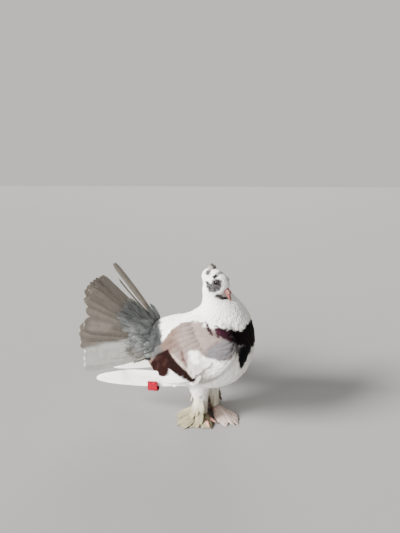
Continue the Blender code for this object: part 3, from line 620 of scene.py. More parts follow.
def barbed_set(name, seed, count, **form):
    """A collection of long feathers of one form, which differ in how their barbs are drawn."""
    return feather_set(name, [barbed_blank(seed + k, **form) for k in range(count)])


def joined_to(tree, value, socket):
    """Feeds a socket from another one, or sets its value."""
    if isinstance(value, bpy.types.NodeSocket):
        tree.links.new(value, socket)
    else:
        socket.default_value = value


def added(tree, kind, inputs=(), **settings):
    """A node in a tree, with its settings and its inputs by place."""
    node = tree.nodes.new(kind)
    for name, value in settings.items():
        setattr(node, name, value)
    for place, value in dict(inputs).items():
        joined_to(tree, value, node.inputs[place])
    return node


def attribute(tree, name, kind="FLOAT"):
    """The values that a mesh carries under a name."""
    return added(tree, "GeometryNodeInputNamedAttribute", {0: name}, data_type=kind).outputs[0]


def stored(tree, geometry, name, value, kind="FLOAT_VECTOR", domain="POINT"):
    """The geometry with values stored on it under a name."""
    return added(tree, "GeometryNodeStoreNamedAttribute", {0: geometry, 2: name, 3: value},
                 data_type=kind, domain=domain).outputs[0]


def sum_of(tree, kind, a, b=0.0, c=0.0):
    """The outcome of one sum on one, two or three numbers."""
    return added(tree, "ShaderNodeMath", {0: a, 1: b, 2: c}, operation=kind).outputs[0]


def scaled(tree, vector, factor):
    """A vector or colour times a number."""
    return added(tree, "ShaderNodeVectorMath", {0: vector, "Scale": factor}, operation="SCALE").outputs[0]


def tree_of(name, sockets):
    """An empty tree of geometry nodes with named inputs."""
    tree = bpy.data.node_groups.new(name, "GeometryNodeTree")
    tree.interface.new_socket("Geometry", in_out="INPUT", socket_type="NodeSocketGeometry")
    tree.interface.new_socket("Geometry", in_out="OUTPUT", socket_type="NodeSocketGeometry")
    for socket, kind in sockets:
        tree.interface.new_socket(socket, in_out="INPUT", socket_type="NodeSocket" + kind)
    return tree, tree.nodes.new("NodeGroupInput").outputs


def placed_feathers(tree, given, points, rotation, scale):
    """Feathers of the set on points, picked at random and made real."""
    picked = added(tree, "FunctionNodeRandomValue", {4: 0, 5: 50, 8: given["Seed"]}, data_type="INT")
    feathers = added(tree, "GeometryNodeCollectionInfo", {0: given["Feathers"], 1: True, 2: True})
    laid = added(tree, "GeometryNodeInstanceOnPoints", {
        "Points": points, "Instance": feathers.outputs[0], "Pick Instance": True,
        "Instance Index": picked.outputs[2], "Rotation": rotation, "Scale": scale})
    return added(tree, "GeometryNodeRealizeInstances", {0: laid.outputs[0]}).outputs[0]


def finished_tree(tree, given, geometry):
    """Gives each feather its place on the baking map and its finish, and ends the tree."""
    along = sum_of(tree, "SUBTRACT", attribute(tree, "along"), 0.5)
    across = sum_of(tree, "MULTIPLY", attribute(tree, "across"), 0.5)
    patch = added(tree, "ShaderNodeCombineXYZ", {0: along, 1: across})
    small = scaled(tree, patch.outputs[0], BAKING_PATCH)
    spot = added(tree, "ShaderNodeVectorMath", {0: attribute(tree, "root_uv", "FLOAT_VECTOR"), 1: small},
                 operation="ADD")
    geometry = stored(tree, geometry, "OFBake", spot.outputs[0], "FLOAT2", "CORNER")
    vane = added(tree, "ShaderNodeCombineXYZ", {0: attribute(tree, "along"), 1: attribute(tree, "across")})
    geometry = stored(tree, geometry, "vane", vane.outputs[0], "FLOAT2", "CORNER")
    finish = added(tree, "GeometryNodeSetMaterial", {0: geometry, 2: given["Finish"]})
    end = tree.nodes.new("NodeGroupOutput")
    tree.links.new(finish.outputs[0], end.inputs[0])
    return tree


def coat_tree():
    """Scatters feathers over the skin, along the lie of the coat, and presses them to it."""
    tree, given = tree_of("coat of feathers", (
        ("Feathers", "Collection"), ("Spacing", "Float"), ("Slimness", "Float"), ("Seed", "Int"),
        ("Finish", "Material")))
    density = sum_of(tree, "DIVIDE", 4.0, sum_of(tree, "MULTIPLY", given["Spacing"], given["Spacing"]))
    spots = added(tree, "GeometryNodeDistributePointsOnFaces", {
        "Mesh": given["Geometry"], "Distance Min": given["Spacing"], "Density Max": density,
        "Density Factor": attribute(tree, "grow"), "Seed": given["Seed"]}, distribute_method="POISSON")
    place = tree.nodes.new("GeometryNodeInputPosition").outputs[0]
    points = stored(tree, spots.outputs[0], "root", place)
    points = stored(tree, points, "root_uv", attribute(tree, "OFBake", "FLOAT_VECTOR"))
    points = added(tree, "GeometryNodeRemoveAttribute", {0: points, 1: "OFBake"}).outputs[0]
    toss = added(tree, "FunctionNodeRandomValue", {2: 0.0, 3: 1.0, 8: 3}, data_type="FLOAT")
    points = stored(tree, points, "toss", toss.outputs[1], "FLOAT")
    lie_there = attribute(tree, "lie", "FLOAT_VECTOR")
    along_lie = added(tree, "FunctionNodeAxesToRotation", {0: spots.outputs[1], 1: lie_there},
                      primary_axis="Z", secondary_axis="X")
    yaw = added(tree, "FunctionNodeRandomValue", {0: (0, 0, -0.2), 1: (0, 0, 0.2), 8: 7},
                data_type="FLOAT_VECTOR")
    spin = added(tree, "FunctionNodeEulerToRotation", {0: yaw.outputs[0]})
    turned = added(tree, "FunctionNodeRotateRotation", {0: along_lie.outputs[0], 1: spin.outputs[0]},
                   rotation_space="LOCAL")
    grown = added(tree, "FunctionNodeRandomValue", {2: 0.82, 3: 1.15, 8: 11}, data_type="FLOAT")
    long_way = sum_of(tree, "MULTIPLY", attribute(tree, "feather_length"), grown.outputs[1])
    wide_way = sum_of(tree, "MULTIPLY", long_way, given["Slimness"])
    scale = added(tree, "ShaderNodeCombineXYZ", {0: long_way, 1: wide_way, 2: wide_way})
    geometry = placed_feathers(tree, given, points, turned.outputs[0], scale.outputs[0])

    here = tree.nodes.new("GeometryNodeInputPosition").outputs[0]
    near = added(tree, "GeometryNodeProximity", {"Geometry": given["Geometry"], "Sample Position": here},
                 target_element="FACES")
    normal = tree.nodes.new("GeometryNodeInputNormal").outputs[0]
    out = added(tree, "GeometryNodeSampleNearestSurface", {
        "Mesh": given["Geometry"], "Value": normal, "Sample Position": here}, data_type="FLOAT_VECTOR")
    rise = sum_of(tree, "MULTIPLY_ADD", attribute(tree, "along"), 0.78, 0.08)
    tossed = sum_of(tree, "MULTIPLY_ADD", attribute(tree, "toss"), 0.3, 0.75)
    edge = sum_of(tree, "POWER", sum_of(tree, "ABSOLUTE", attribute(tree, "across")), 2.0)
    edge_drop = sum_of(tree, "MULTIPLY", edge, 0.22)
    height = sum_of(tree, "SUBTRACT", sum_of(tree, "MULTIPLY", rise, tossed), edge_drop)
    height = sum_of(tree, "MULTIPLY", height, attribute(tree, "depth"))
    thick = sum_of(tree, "MULTIPLY", attribute(tree, "thick"), FEATHER_THICKNESS)
    height = sum_of(tree, "ADD", height, thick)
    raised = scaled(tree, out.outputs[0], height)
    pressed = added(tree, "ShaderNodeVectorMath", {0: near.outputs[0], 1: raised}, operation="ADD")
    geometry = added(tree, "GeometryNodeSetPosition", {0: geometry, 2: pressed.outputs[0]}).outputs[0]
    return finished_tree(tree, given, geometry)


def quill_tree():
    """Sets one feather on each root, turned along its own way, and bends it."""
    tree, given = tree_of("feathers on roots", (
        ("Feathers", "Collection"), ("Seed", "Int"), ("Finish", "Material")))
    way, face = attribute(tree, "way", "FLOAT_VECTOR"), attribute(tree, "face", "FLOAT_VECTOR")
    place = tree.nodes.new("GeometryNodeInputPosition").outputs[0]
    points = added(tree, "GeometryNodeMeshToPoints", {0: given["Geometry"]}).outputs[0]
    points = stored(tree, points, "root", place)
    turned = added(tree, "FunctionNodeAxesToRotation", {0: way, 1: face},
                   primary_axis="X", secondary_axis="Z")
    size = added(tree, "ShaderNodeCombineXYZ", {0: attribute(tree, "long"), 1: attribute(tree, "wide"),
                                                2: attribute(tree, "wide")})
    geometry = placed_feathers(tree, given, points, turned.outputs[0], size.outputs[0])
    along = attribute(tree, "along")
    bend = sum_of(tree, "MULTIPLY", along, sum_of(tree, "SUBTRACT", 1.0, along))
    bow = sum_of(tree, "MULTIPLY", sum_of(tree, "MULTIPLY", bend, 4.0), attribute(tree, "bow"))
    thick = sum_of(tree, "MULTIPLY", attribute(tree, "thick"), FEATHER_THICKNESS)
    moved = scaled(tree, face, sum_of(tree, "ADD", bow, thick))
    geometry = added(tree, "GeometryNodeSetPosition", {0: geometry, 3: moved}).outputs[0]
    return finished_tree(tree, given, geometry)


COAT, QUILLS = coat_tree(), quill_tree()
contour_feathers = feather_set("contour", [contour_blank(s) for s in range(5)])


def laid(name, source, tree, **values):
    """A plain mesh of the feathers that a tree lays on the source."""
    step = source.modifiers.new("feathers", "NODES")
    step.node_group = tree
    for item in tree.interface.items_tree:
        if item.in_out == "INPUT" and item.name in values:
            step[item.identifier] = values[item.name]
    graph = bpy.context.evaluated_depsgraph_get()
    mesh = bpy.data.meshes.new_from_object(source.evaluated_get(graph))
    source.modifiers.remove(step)
    mesh.name = name
    return placed(name, mesh)


# Markings
# White plumage with an ash grey saddle and brown ends on each wing, a ragged dark band over
# the chest, dark smudges on the head, slate coverts round the tail and grey tail feathers.
# Skin and coat ask the same functions, so that both carry the same marks.
def colour(red, green, blue):
    """Linear colour from the 0 to 255 values of a colour on screen."""
    values = np.array((red, green, blue)) / 255
    return np.where(values > 0.04045, ((values + 0.055) / 1.055) ** 2.4, values / 12.92)


WHITE, LEG_CREAM_SHADE = colour(247, 244, 238), colour(192, 182, 160)
ASH, DUN, SLATE = colour(130, 115, 108), colour(98, 77, 65), colour(98, 96, 100)
BROWN, UMBER, PALE_EDGE = colour(21, 3, 1), colour(76, 53, 44), colour(184, 164, 154)
BAND, NEAR_BLACK, CHEST_GREY = colour(30, 9, 18), colour(6, 5, 7), colour(88, 87, 90)
TAIL_GREY, TAIL_PALE_LIT, COVERT_BLUE = colour(130, 123, 114), colour(212, 212, 207), colour(95, 97, 96)
SMUDGE, LOW_WING_SHADE = colour(18, 13, 16), colour(190, 182, 176)
MUFF_CREAM_SHADED, MUFF_PINK = colour(146, 138, 112), colour(184, 164, 154)


def over(colours, tone, mask):
    """Colours with a tone laid over them where the mask is 1."""
    return colours * (1 - mask[:, None]) + np.asarray(tone) * mask[:, None]


def streak(a, b, start, end, width_start, width_end, soft):
    """1 along a line between two places of a plane, tapering, 0 outside its width."""
    start, end = np.array(start, float), np.array(end, float)
    way = end - start
    t = np.clip(((a - start[0]) * way[0] + (b - start[1]) * way[1]) / (way @ way), 0, 1)
    off = np.hypot(a - start[0] - way[0] * t, b - start[1] - way[1] * t)
    width = width_start + (width_end - width_start) * t
    return 1 - step_between(-soft, soft, off - width)


def inside(a, b, corners, soft, grow=0.0):
    """1 within a closed outline in a plane, grown by a width, and 0 outside it, soft over its edge."""
    gap, within = np.full(len(a), 1e6), np.zeros(len(a), bool)
    for (x0, y0), (x1, y1) in zip(corners, corners[1:] + corners[:1]):
        way_x, way_y = x1 - x0, y1 - y0
        t = np.clip(((a - x0) * way_x + (b - y0) * way_y) / (way_x ** 2 + way_y ** 2), 0, 1)
        gap = np.minimum(gap, np.hypot(a - x0 - way_x * t, b - y0 - way_y * t))
        crossed = x0 + (b - y0) * way_x / (way_y or 1e-9)
        within ^= ((y0 > b) != (y1 > b)) & (a < crossed)
    return 1 - step_between(-soft, soft, np.where(within, -gap, gap) - grow)


# Outlines of the wing's marks, along and up the wing from its centre
BROWN_ENDS = (
    (40.5, 9.6), (36.8, 1.3), (30.3, -10.3), (23.7, -20), (15.8, -28.8), (14.4, -35.2), (10.6, -41.4),
    (7.8, -43.6), (12.7, -46), (19.2, -46.1), (28.3, -40.3), (36.1, -33.1), (44.1, -24.7),
    (50.6, -18.2), (54.3, -23.7), (58.6, -28.2), (66.9, -29.6), (76.4, -26.8), (82.2, -21.8),
    (87.8, -13.6), (88.8, -6.7), (82.1, -2.6), (74.9, 2.1), (61.4, 6.6), (50.9, 8.9))
SLATE_FRONT = (
    (-30, -2), (-24, -12), (-35, -21), (-48, -25), (-58, -22), (-65, -16), (-72, -8), (-68, -1),
    (-57, 6), (-46, 2))
WHITE_SPOT = (
    (0.4, 1.4), (-16.8, -1.9), (-11.5, -10.8), (-12.6, -17.3), (-10, -21.5), (0.5, -18.2), (0.9, -11.2))
WHITE_WEDGE = ((-19.9, -13.3), (-37.6, -19.6), (-37.5, -23.6), (-26.2, -20.9), (-19.4, -17.1))
# Lower limit of the ash saddle: places along the wing, and its height there
SADDLE_LOW = ((-72, -64, -58, -48, -35, -24, -17, 2, 7, 12, 20, 60),
              (-13, -17, -22.6, -25.7, -22.2, -13.4, -4, 1, -14, -24, -45, -62))
# Rear limit of the dark bar, where white begins: heights on the wing, and places along it
BAR_REAR = ((-60, -46, -39, -32, -24, -17, -8), (12, 17, 24, 30, 38, 44, 50))


def wing_colours(along, up, toss):
    """Colours of a wing by the place along and up its side, with ragged limits."""
    ragged = (toss - 0.5) * 2
    colours = np.tile(ASH, (len(along), 1)) * (0.92 + 0.16 * toss[:, None])
    colours = over(colours, DUN, 0.8 * step_between(20, 44, along + 0.4 * up + 2 * ragged))
    colours = over(colours, SLATE, 0.9 * inside(along, up, SLATE_FRONT, 4))
    rear = step_between(42, 56, along - 0.4 * up) * step_between(-2, 6, up)
    colours = over(colours, COVERT_BLUE * 0.6, 0.9 * rear)
    for start, end in (((-56, 8), (-46, 3)), ((-46, 3), (-32, -3))):
        colours = over(colours, DUN * 0.8, 0.5 * streak(along, up, start, end, 1.2, 1.2, 2))
    # Below the saddle the wing is painted pale grey towards its front instead of white: partly the feathers'
    # own tone, partly painted shade.
    low = LOW_WING_SHADE + (WHITE * 0.97 - LOW_WING_SHADE) * (1 - step_between(-32, -10, along))[:, None]
    below = up - np.interp(along, *SADDLE_LOW) + 1.5 * ragged
    colours = over(colours, low, 1 - step_between(-2.5, 2.5, below))
    for spot in (WHITE_SPOT, WHITE_WEDGE):
        colours = over(colours, WHITE, inside(along, up, spot, 1.2))
    colours = over(colours, UMBER, 0.4 * streak(along, up, (20, 16), (14, 2), 6, 4, 4))
    colours = over(colours, UMBER, 0.85 * streak(along, up, (13, 2), (14.6, -9), 2.2, 2.8, 2))
    colours = over(colours, UMBER, 0.8 * streak(along, up, (14.6, -9), (13, -18), 2.8, 1.2, 1.6))
    for start, end in (((33, 1), (22, -14)), ((22, -14), (12, -33))):
        colours = over(colours, PALE_EDGE, 0.75 * streak(along, up, start, end, 2.2, 2.2, 1.5))
    below_bar = along - np.interp(up, *BAR_REAR)
    colours = over(colours, WHITE * 0.92, step_between(-1, 1, below_bar) * (1 - step_between(-14, -8, up)))
    colours = over(colours, PALE_EDGE, step_between(80, 87, along) * (1 - step_between(-10, -5, up)))
    brown = inside(along + 0.5 * ragged, up + 0.5 * ragged, BROWN_ENDS, 1.0, 1.2)
    shade = (0.75 + 0.6 * toss) * (1 + 0.35 * step_between(44, 56, along))
    colours = over(colours, BROWN * shade[:, None], brown)
    for start, end in (((50, -5), (60, -12)), ((70, -8), (78, -17)), ((62, 2), (74, -2))):
        colours = over(colours, UMBER, 0.4 * brown * streak(along, up, start, end, 0.8, 1.2, 2))
    return over(colours, NEAR_BLACK, step_between(84, 87, along) * step_between(-1, 0.5, up))


def band_places(points):
    """Angle of points round the chest, and the height and half width of the dark band there."""
    turn = np.degrees(np.arctan2(np.abs(points[:, 1]), points[:, 0] - 10))
    turns = (0, 10, 19, 26, 33, 45, 54, 62, 68, 75)
    middle = np.interp(turn, turns, (164, 166.5, 166.5, 166, 168.2, 173.2, 177.3, 179.4, 180.6, 182))
    return turn, middle, np.interp(turn, turns, (20, 18.5, 14.5, 11.4, 11, 8.8, 7.2, 6.2, 6, 5.6))


def banded(colours, points, toss):
    """Lays the ragged dark band of the chest over the colours, with its thin end up the shoulder."""
    turn, middle, half = band_places(points)
    x, z = points[:, 0], points[:, 2]
    band = 1 - step_between(-1.2, 1.2, np.abs(z - middle + (toss - 0.5) * 3) - half)
    band *= (1 - step_between(66, 70, turn + (toss - 0.5) * 4)) * step_between(6, 14, x)
    band = np.maximum(band, streak(x, z, (15.5, 191), (21, 184), 1.6, 2.4, 0.8))
    band = np.maximum(band, streak(x, z, (21, 184), (30, 176), 2.4, 2.2, 0.8))
    # The band is painted darker round the front of the chest, as painted shade where the chest turns from the
    # light, and lighter towards the side, with a lighter streak near the shoulder.
    light = 0.3 + 0.9 * step_between(34, 56, turn)
    light = light + 1.6 * streak(turn, z, (64, 182), (62, 178), 1.5, 1.0, 1.5)
    return over(colours, BAND * (light * (0.7 + 0.6 * toss))[:, None], band)


# Outlines of the marks under the band, turn round the chest in degrees and height: a near black spot, partly
# dark feathers and partly painted shade, and a grey fringe
CHEST_SPOT_AND_SHADE = ((35.5, 147), (28, 155), (10, 151), (16, 136), (20, 126.5), (25, 114), (30.5, 117.5), (34, 131))
CHEST_FRINGE = ((60, 172), (45, 164), (33, 157), (12, 149), (8, 139), (14, 139), (27, 145), (37, 143),
                (44, 132), (50, 136), (56, 142), (66, 150))


def body_colours(points, toss):
    """Colours of neck and body by place, with the ragged band over the chest."""
    x, z = points[:, 0], points[:, 2]
    ragged = (toss - 0.5) * 4
    turn = band_places(points)[0]
    colours = np.tile(WHITE, (len(x), 1))
    in_front = step_between(20, 40, x)
    fringe = inside(turn, z + ragged, CHEST_FRINGE, 2.5) * in_front
    tone = CHEST_GREY + (SLATE - CHEST_GREY) * step_between(36, 48, turn)[:, None]
    colours = over(colours, tone, fringe)
    # Near black spot under the band: partly dark feathers, partly painted shade on the lower front of the
    # chest.
    colours = over(colours, NEAR_BLACK, inside(turn, z + 0.6 * ragged, CHEST_SPOT_AND_SHADE, 1.2) * in_front)
    return banded(colours, points, toss)


# Outline of the dark feathers round the eye, along and up the head
ROUND_EYE = ((-7.2, -3.6), (-1.5, -7.8), (6.9, -9), (14.2, -6.4), (18, 0.5), (17.3, 7), (12, 13),
             (5.8, 12), (1, 7), (4, 3), (1.5, 0), (-4, -0.2))


def head_colours(points, toss):
    """Colours of the head: white, with dark smudges round each eye, on brow and nape, and dark streaks along
    cheek and throat under the bill.
    """
    place = local_to(head_frame, points)
    x, y, z = place.T
    aside = np.abs(y)
    ragged = (toss - 0.5) * 1.6
    colours = np.tile(WHITE, (len(x), 1))
    out = step_between(4, 9, aside)
    round_eye = inside(x + 0.5 * ragged, z + 0.5 * ragged, ROUND_EYE, 1.2, 1.0) * (0.93 + 0.07 * ragged)
    brow = np.maximum(streak(z, aside, (11.5, 13.4), (14.7, 9.6), 1.8, 1.8, 1.2),
                      0.8 * streak(z, aside, (14.7, 9.6), (18.5, 0.5), 1.8, 1.2, 1.2))
    brow *= 1 - step_between(2.2, 4.2, np.abs(x - 0.4))
    nape = 0.95 * (1 - step_between(3.4, 6, np.hypot(x + 14, z - 9.6) + ragged))
    cheek = 0.95 * streak(x, z, (20.5, -8), (26, -7.4), 2.0, 1.6, 1.2)
    throat = streak(x, z, (28, -7.6), (34, -8.4), 1.4, 1.4, 1.0)
    for mark in (round_eye * out, brow, nape * out, cheek * out, throat):
        colours = over(colours, SMUDGE, mark)
    return colours


# Top of the ash shield: places along the wing, and its height there
SHIELD_TOP = ((-60, -46, -33, -23, -9, 6, 19, 32, 44, 60), (14, 27, 36.5, 40.5, 43.8, 44.5, 43, 38.5, 31, 20))


def plumage(points, toss):
    """Colours of head, neck, body, legs and the wings' arms at places on the bird."""
    colours = body_colours(points, toss)
    middle, half = band_places(points)[1:]
    for side in (RIGHT, LEFT):
        reach, local = wing_reach(points, side)
        wing = 1 - step_between(1.04, 1.10, reach)
        wing *= step_between(-8, 0, side * points[:, 1] - 26)
        along, up = -local[:, 0], -side * local[:, 1]
        lay = wing_colours(along, up, toss)
        shield_top = np.interp(along, *SHIELD_TOP)
        lay = over(lay, WHITE, step_between(-1.5, 1.5, up - shield_top + (toss - 0.5) * 3))
        hackles = step_between(-1.5, 1.5, points[:, 2] - middle - half * 0.4)
        lay = over(lay, WHITE, hackles * step_between(11, 15, points[:, 0]))
        colours = over(colours, banded(lay, points, toss), wing)
    # The rump's slate is painted far darker than the coverts' slate: partly its own slate, partly painted
    # shade.
    rump = step_between(-3, 4, 0.55 * np.abs(points[:, 1]) - 84.3 - points[:, 0] + (toss - 0.5) * 4)
    rump *= step_between(104, 120, points[:, 2])
    colours = over(colours, COVERT_BLUE * (0.14 + 0.22 * toss[:, None]), rump)
    to_head = np.linalg.norm(local_to(head_frame, points), axis=1)
    colours = over(colours, head_colours(points, toss), 1 - step_between(33, 36, to_head))
    # The lower legs are painted cream: partly the feathers' own cream, partly painted shade under the body.
    leg = (1 - step_between(20, 66, points[:, 2])) * 0.85
    return over(colours, LEG_CREAM_SHADE, leg)


def coloured(piece, colours):
    """Stores the colours on the piece and leaves off what its making needed."""
    write(piece.data, "plumage", np.concatenate([colours, np.ones((len(colours), 1))], axis=1))
    for name in [a.name for a in piece.data.attributes]:
        if name in ("root", "toss", "lie", "depth", "feather_length", "grow", "root_uv", "way", "face",
                    "long", "wide", "bow", "thick", "along", "across"):
            piece.data.attributes.remove(piece.data.attributes[name])


def simple_finish(name, rough=0.5):
    """A new material with its tree and its shader."""
    finish = bpy.data.materials.new(name)
    finish.use_nodes = True
    shader = finish.node_tree.nodes["Principled BSDF"]
    shader.inputs["Roughness"].default_value = rough
    return finish, finish.node_tree, shader


def grain_of(tree, scale, detail):
    """Fine even noise that keeps its place on the piece."""
    place = added(tree, "ShaderNodeTexCoord").outputs["Object"]
    noise = added(tree, "ShaderNodeTexNoise", {"Vector": place, "Scale": scale, "Detail": detail})
    return noise.outputs[0]


def bumped(tree, shader, height, distance, strength=1.0):
    """Gives a shader's surface the relief of a height."""
    bump = added(tree, "ShaderNodeBump", {"Height": height, "Distance": distance, "Strength": strength})
    tree.links.new(bump.outputs[0], shader.inputs["Normal"])


def barb_group():
    """Colour and relief of feathers: fine barbs that leave the shaft aslant, and soft mottling."""
    group = bpy.data.node_groups.new("barbs", "ShaderNodeTree")
    for name, kind in (("Colour", "Color"), ("Shaft tone", "Float"), ("Barbs", "Float"), ("Slant", "Float"),
                       ("Mottle", "Float"), ("Root grey", "Float")):
        group.interface.new_socket(name, in_out="INPUT", socket_type="NodeSocket" + kind)
    for name, kind in (("Colour", "Color"), ("Height", "Float"), ("Roughness", "Float")):
        group.interface.new_socket(name, in_out="OUTPUT", socket_type="NodeSocket" + kind)
    given, end = group.nodes.new("NodeGroupInput").outputs, group.nodes.new("NodeGroupOutput")
    vane = added(group, "ShaderNodeUVMap", uv_map="vane").outputs[0]
    parts = added(group, "ShaderNodeSeparateXYZ", {0: vane}).outputs
    across = sum_of(group, "ABSOLUTE", parts[1])
    slanted = sum_of(group, "SUBTRACT", parts[0], sum_of(group, "MULTIPLY", across, given["Slant"]))
    turns = sum_of(group, "MULTIPLY", sum_of(group, "MULTIPLY", slanted, given["Barbs"]), math.tau)
    wave = sum_of(group, "MULTIPLY_ADD", sum_of(group, "SINE", turns), 0.5, 0.5)
    blotches, fine = grain_of(group, 130.0, 3.0), grain_of(group, 900.0, 2.0)
    shade = sum_of(group, "MULTIPLY", sum_of(group, "SUBTRACT", blotches, 0.5), given["Mottle"])
    lined = sum_of(group, "MULTIPLY", sum_of(group, "SUBTRACT", wave, 0.5), 0.1)
    to_root = sum_of(group, "POWER", sum_of(group, "SUBTRACT", 1.0, parts[0]), 3.0)
    rooted = sum_of(group, "MULTIPLY", to_root, given["Root grey"])
    factor = sum_of(group, "SUBTRACT", sum_of(group, "ADD", sum_of(group, "ADD", shade, lined), 1.0), rooted)
    toned = scaled(group, given["Colour"], factor)
    shaft = scaled(group, given["Colour"], given["Shaft tone"])
    on_shaft = added(group, "ShaderNodeAttribute", attribute_name="shaft").outputs["Fac"]
    mixed = added(group, "ShaderNodeMix", {0: on_shaft, 6: toned, 7: shaft}, data_type="RGBA")
    relief = sum_of(group, "ADD", sum_of(group, "MULTIPLY", wave, 0.6), sum_of(group, "MULTIPLY", fine, 0.4))
    rough = sum_of(group, "MULTIPLY_ADD", blotches, 0.25, 0.62)
    for name, value in (("Colour", mixed.outputs[2]), ("Height", relief), ("Roughness", rough)):
        group.links.new(value, end.inputs[name])
    return group


BARBS = barb_group()
BARB_RELIEF, DOWN_RELIEF = 0.3 * MM, 0.6 * MM


def plumage_finish(name, shaft, barbs, slant=0.12, mottle=0.25, root_grey=0.1):
    """Feather material: its colour is stored on the piece, its barbs follow each vane."""
    finish, tree, shader = simple_finish(name)
    lay = added(tree, "ShaderNodeAttribute", attribute_name="plumage").outputs["Color"]
    barb = added(tree, "ShaderNodeGroup", {
        "Colour": lay, "Shaft tone": shaft, "Barbs": barbs, "Slant": slant, "Mottle": mottle,
        "Root grey": root_grey}, node_tree=BARBS).outputs
    tree.links.new(barb["Colour"], shader.inputs["Base Color"])
    tree.links.new(barb["Roughness"], shader.inputs["Roughness"])
    bumped(tree, shader, barb["Height"], BARB_RELIEF, 0.5)
    for socket, value in (("Sheen Weight", 0.015), ("Sheen Roughness", 0.5), ("Specular IOR Level", 0.08)):
        shader.inputs[socket].default_value = value
    return finish


skin_finish, tree, shader = simple_finish("bird skin under down", 0.9)
grain = grain_of(tree, 420.0, 4.0)
lay = added(tree, "ShaderNodeAttribute", attribute_name="plumage").outputs["Color"]
tone = scaled(tree, lay, sum_of(tree, "MULTIPLY_ADD", grain, 0.3, 0.68))
tree.links.new(tone, shader.inputs["Base Color"])
bumped(tree, shader, grain, DOWN_RELIEF)
skin.data.materials.append(skin_finish)

white_finish = plumage_finish("small white feathers", 1.0, 9)
# Where the head is bare: a place, and from how far to how far from it the feathers begin
bare_places = [((7.5, side * 15.0, 7.2), 4.4, 5.0) for side in (RIGHT, LEFT)]
bare_places.append(((24.5, 0, -2.5), 4.5, 5.5))
clear = np.ones(len(skin_points))
for place, low, high in bare_places:
    clear *= step_between(low, high, np.linalg.norm(head_local - np.array(place), axis=1))
NECK_END, BREAST_FROM = 95, 5
past_neck = from_bill[:, 0] >= NECK_END
on_body = past_neck * (on_wing < 0.5) * (on_leg < 0.5)
in_breast = skin_points[:, 0] > BREAST_FROM
# Where each piece of the coat grows, its feathers' spacing and slimness, and its seed
covered = {
    "coat_head": (clear * (on_head >= 0.5), 0.0019, 0.30, 1),
    "coat_neck": ((on_head < 0.5) * ~past_neck * (on_wing < 0.5), 0.0031, 0.26, 2),
    "coat_breast": (on_body * in_breast, 0.0042, 0.25, 3),
    "coat_back": (on_body * ~in_breast * (on_tail < 0.5), 0.0042, 0.25, 4),
    "coat_wing_right": ((on_wing >= 0.5) * (skin_points[:, 1] < 0), 0.0036, 0.30, 5),
    "coat_wing_left": ((on_wing >= 0.5) * (skin_points[:, 1] > 0), 0.0036, 0.30, 6),
    "coat_legs": ((on_leg >= 0.5) * (on_wing < 0.5), 0.0034, 0.20, 7),
    "coat_tail_root": (on_tail >= 0.5, 0.0044, 0.28, 8),
}
for name, (grow, spacing, slimness, seed) in covered.items():
    write(skin.data, "grow", np.asarray(grow, float)[:, None])
    piece = laid(name, skin, COAT, Feathers=contour_feathers, Spacing=spacing, Slimness=slimness,
                 Seed=seed, Finish=white_finish)
    root = read(piece.data, "root", 3) / MM - MIDDLE
    colours = plumage(root * 0.2 + bird_place(piece.data) * 0.8, read(piece.data, "toss", 1)[:, 0])
    coloured(piece, colours)
    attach(piece, "root")
coloured(skin, plumage(skin_points, np.full(len(skin_points), 0.5)))
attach(skin, "root")
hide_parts("head", "neck", "torso", "leg_left", "leg_right")


# Wings
# Each folded wing shows its tiers: lesser, median and greater coverts, tertials and secondaries
# with brown ends, and below them the stack of long white primaries. Every feather is a shaft
# with bundles of barbs, set on its own root and bent over the arm of the wing.
skin_uv = np.zeros((len(skin.data.vertices), 3))
corner_uv = np.zeros(len(skin.data.loops) * 2, np.float32)
skin.data.uv_layers["OFBake"].data.foreach_get("uv", corner_uv)
corner_point = np.zeros(len(skin.data.loops), np.int32)
skin.data.loops.foreach_get("vertex_index", corner_point)
skin_uv[corner_point, :2] = corner_uv.reshape(-1, 2)
near_skin = KDTree(len(skin_points))
for i, point in enumerate(skin_points.tolist()):
    near_skin.insert(point, i)
near_skin.balance()


class Quills:
    """Roots of feathers, with each one's way, face, length, half width and bow."""

    def __init__(self, seed):
        self.rows = []
        self.draw = np.random.default_rng(seed)

    def add(self, root, tip, face, half_width, bow=0.0):
        """Roots a feather of this half width from root to tip, with its outer side along face."""
        way = (tip - root).normalized()
        face = (face - way * face.dot(way)).normalized()
        nearest = near_skin.find(root)[1]
        self.rows.append((*root, *way, *face, (tip - root).length, half_width, bow,
                          self.draw.uniform(), *skin_uv[nearest]))

    def laid(self, name, feathers, finish, seed):
        """A piece of the scene with a feather of the set on each root."""
        rows = np.array(self.rows, float)
        roots = shown(name + "_roots", rows[:, :3], [])
        for mark, low, high, scale in (("way", 3, 6, 1), ("face", 6, 9, 1), ("long", 9, 10, MM),
                                       ("wide", 10, 11, MM), ("bow", 11, 12, MM), ("toss", 12, 13, 1),
                                       ("root_uv", 13, 16, 1)):
            write(roots.data, mark, rows[:, low:high] * scale)
        piece = laid(name, roots, QUILLS, Feathers=feathers, Seed=seed, Finish=finish)
        bpy.data.objects.remove(roots, do_unlink=True)
        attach(piece, "root")
        return piece


WING_RIM, WING_RIM_FALL = 0.866, 13
# Tier: count, first and last tip along and up the wing, first and last root, half width, rise
WING_TIERS = (
    ("tertials", 3, (72, 9), (82, -1), (34, 15), (38, 5), 8.5, 3.6),
    ("secondaries", 9, (95, -3), (74, -35), (43, 4), (16, -41), 7.0, 2.8),
    ("greater_coverts", 9, (54, 15), (19, -49), (24, 24), (-6, -36), 6.6, 2.2),
    ("median_coverts", 9, (30, 32), (5, -33), (2, 34), (-20, -23), 6.2, 1.9),
    ("lesser_coverts", 10, (12, 41), (-13, -26), (-10, 39), (-32, -18), 5.6, 1.7),
)
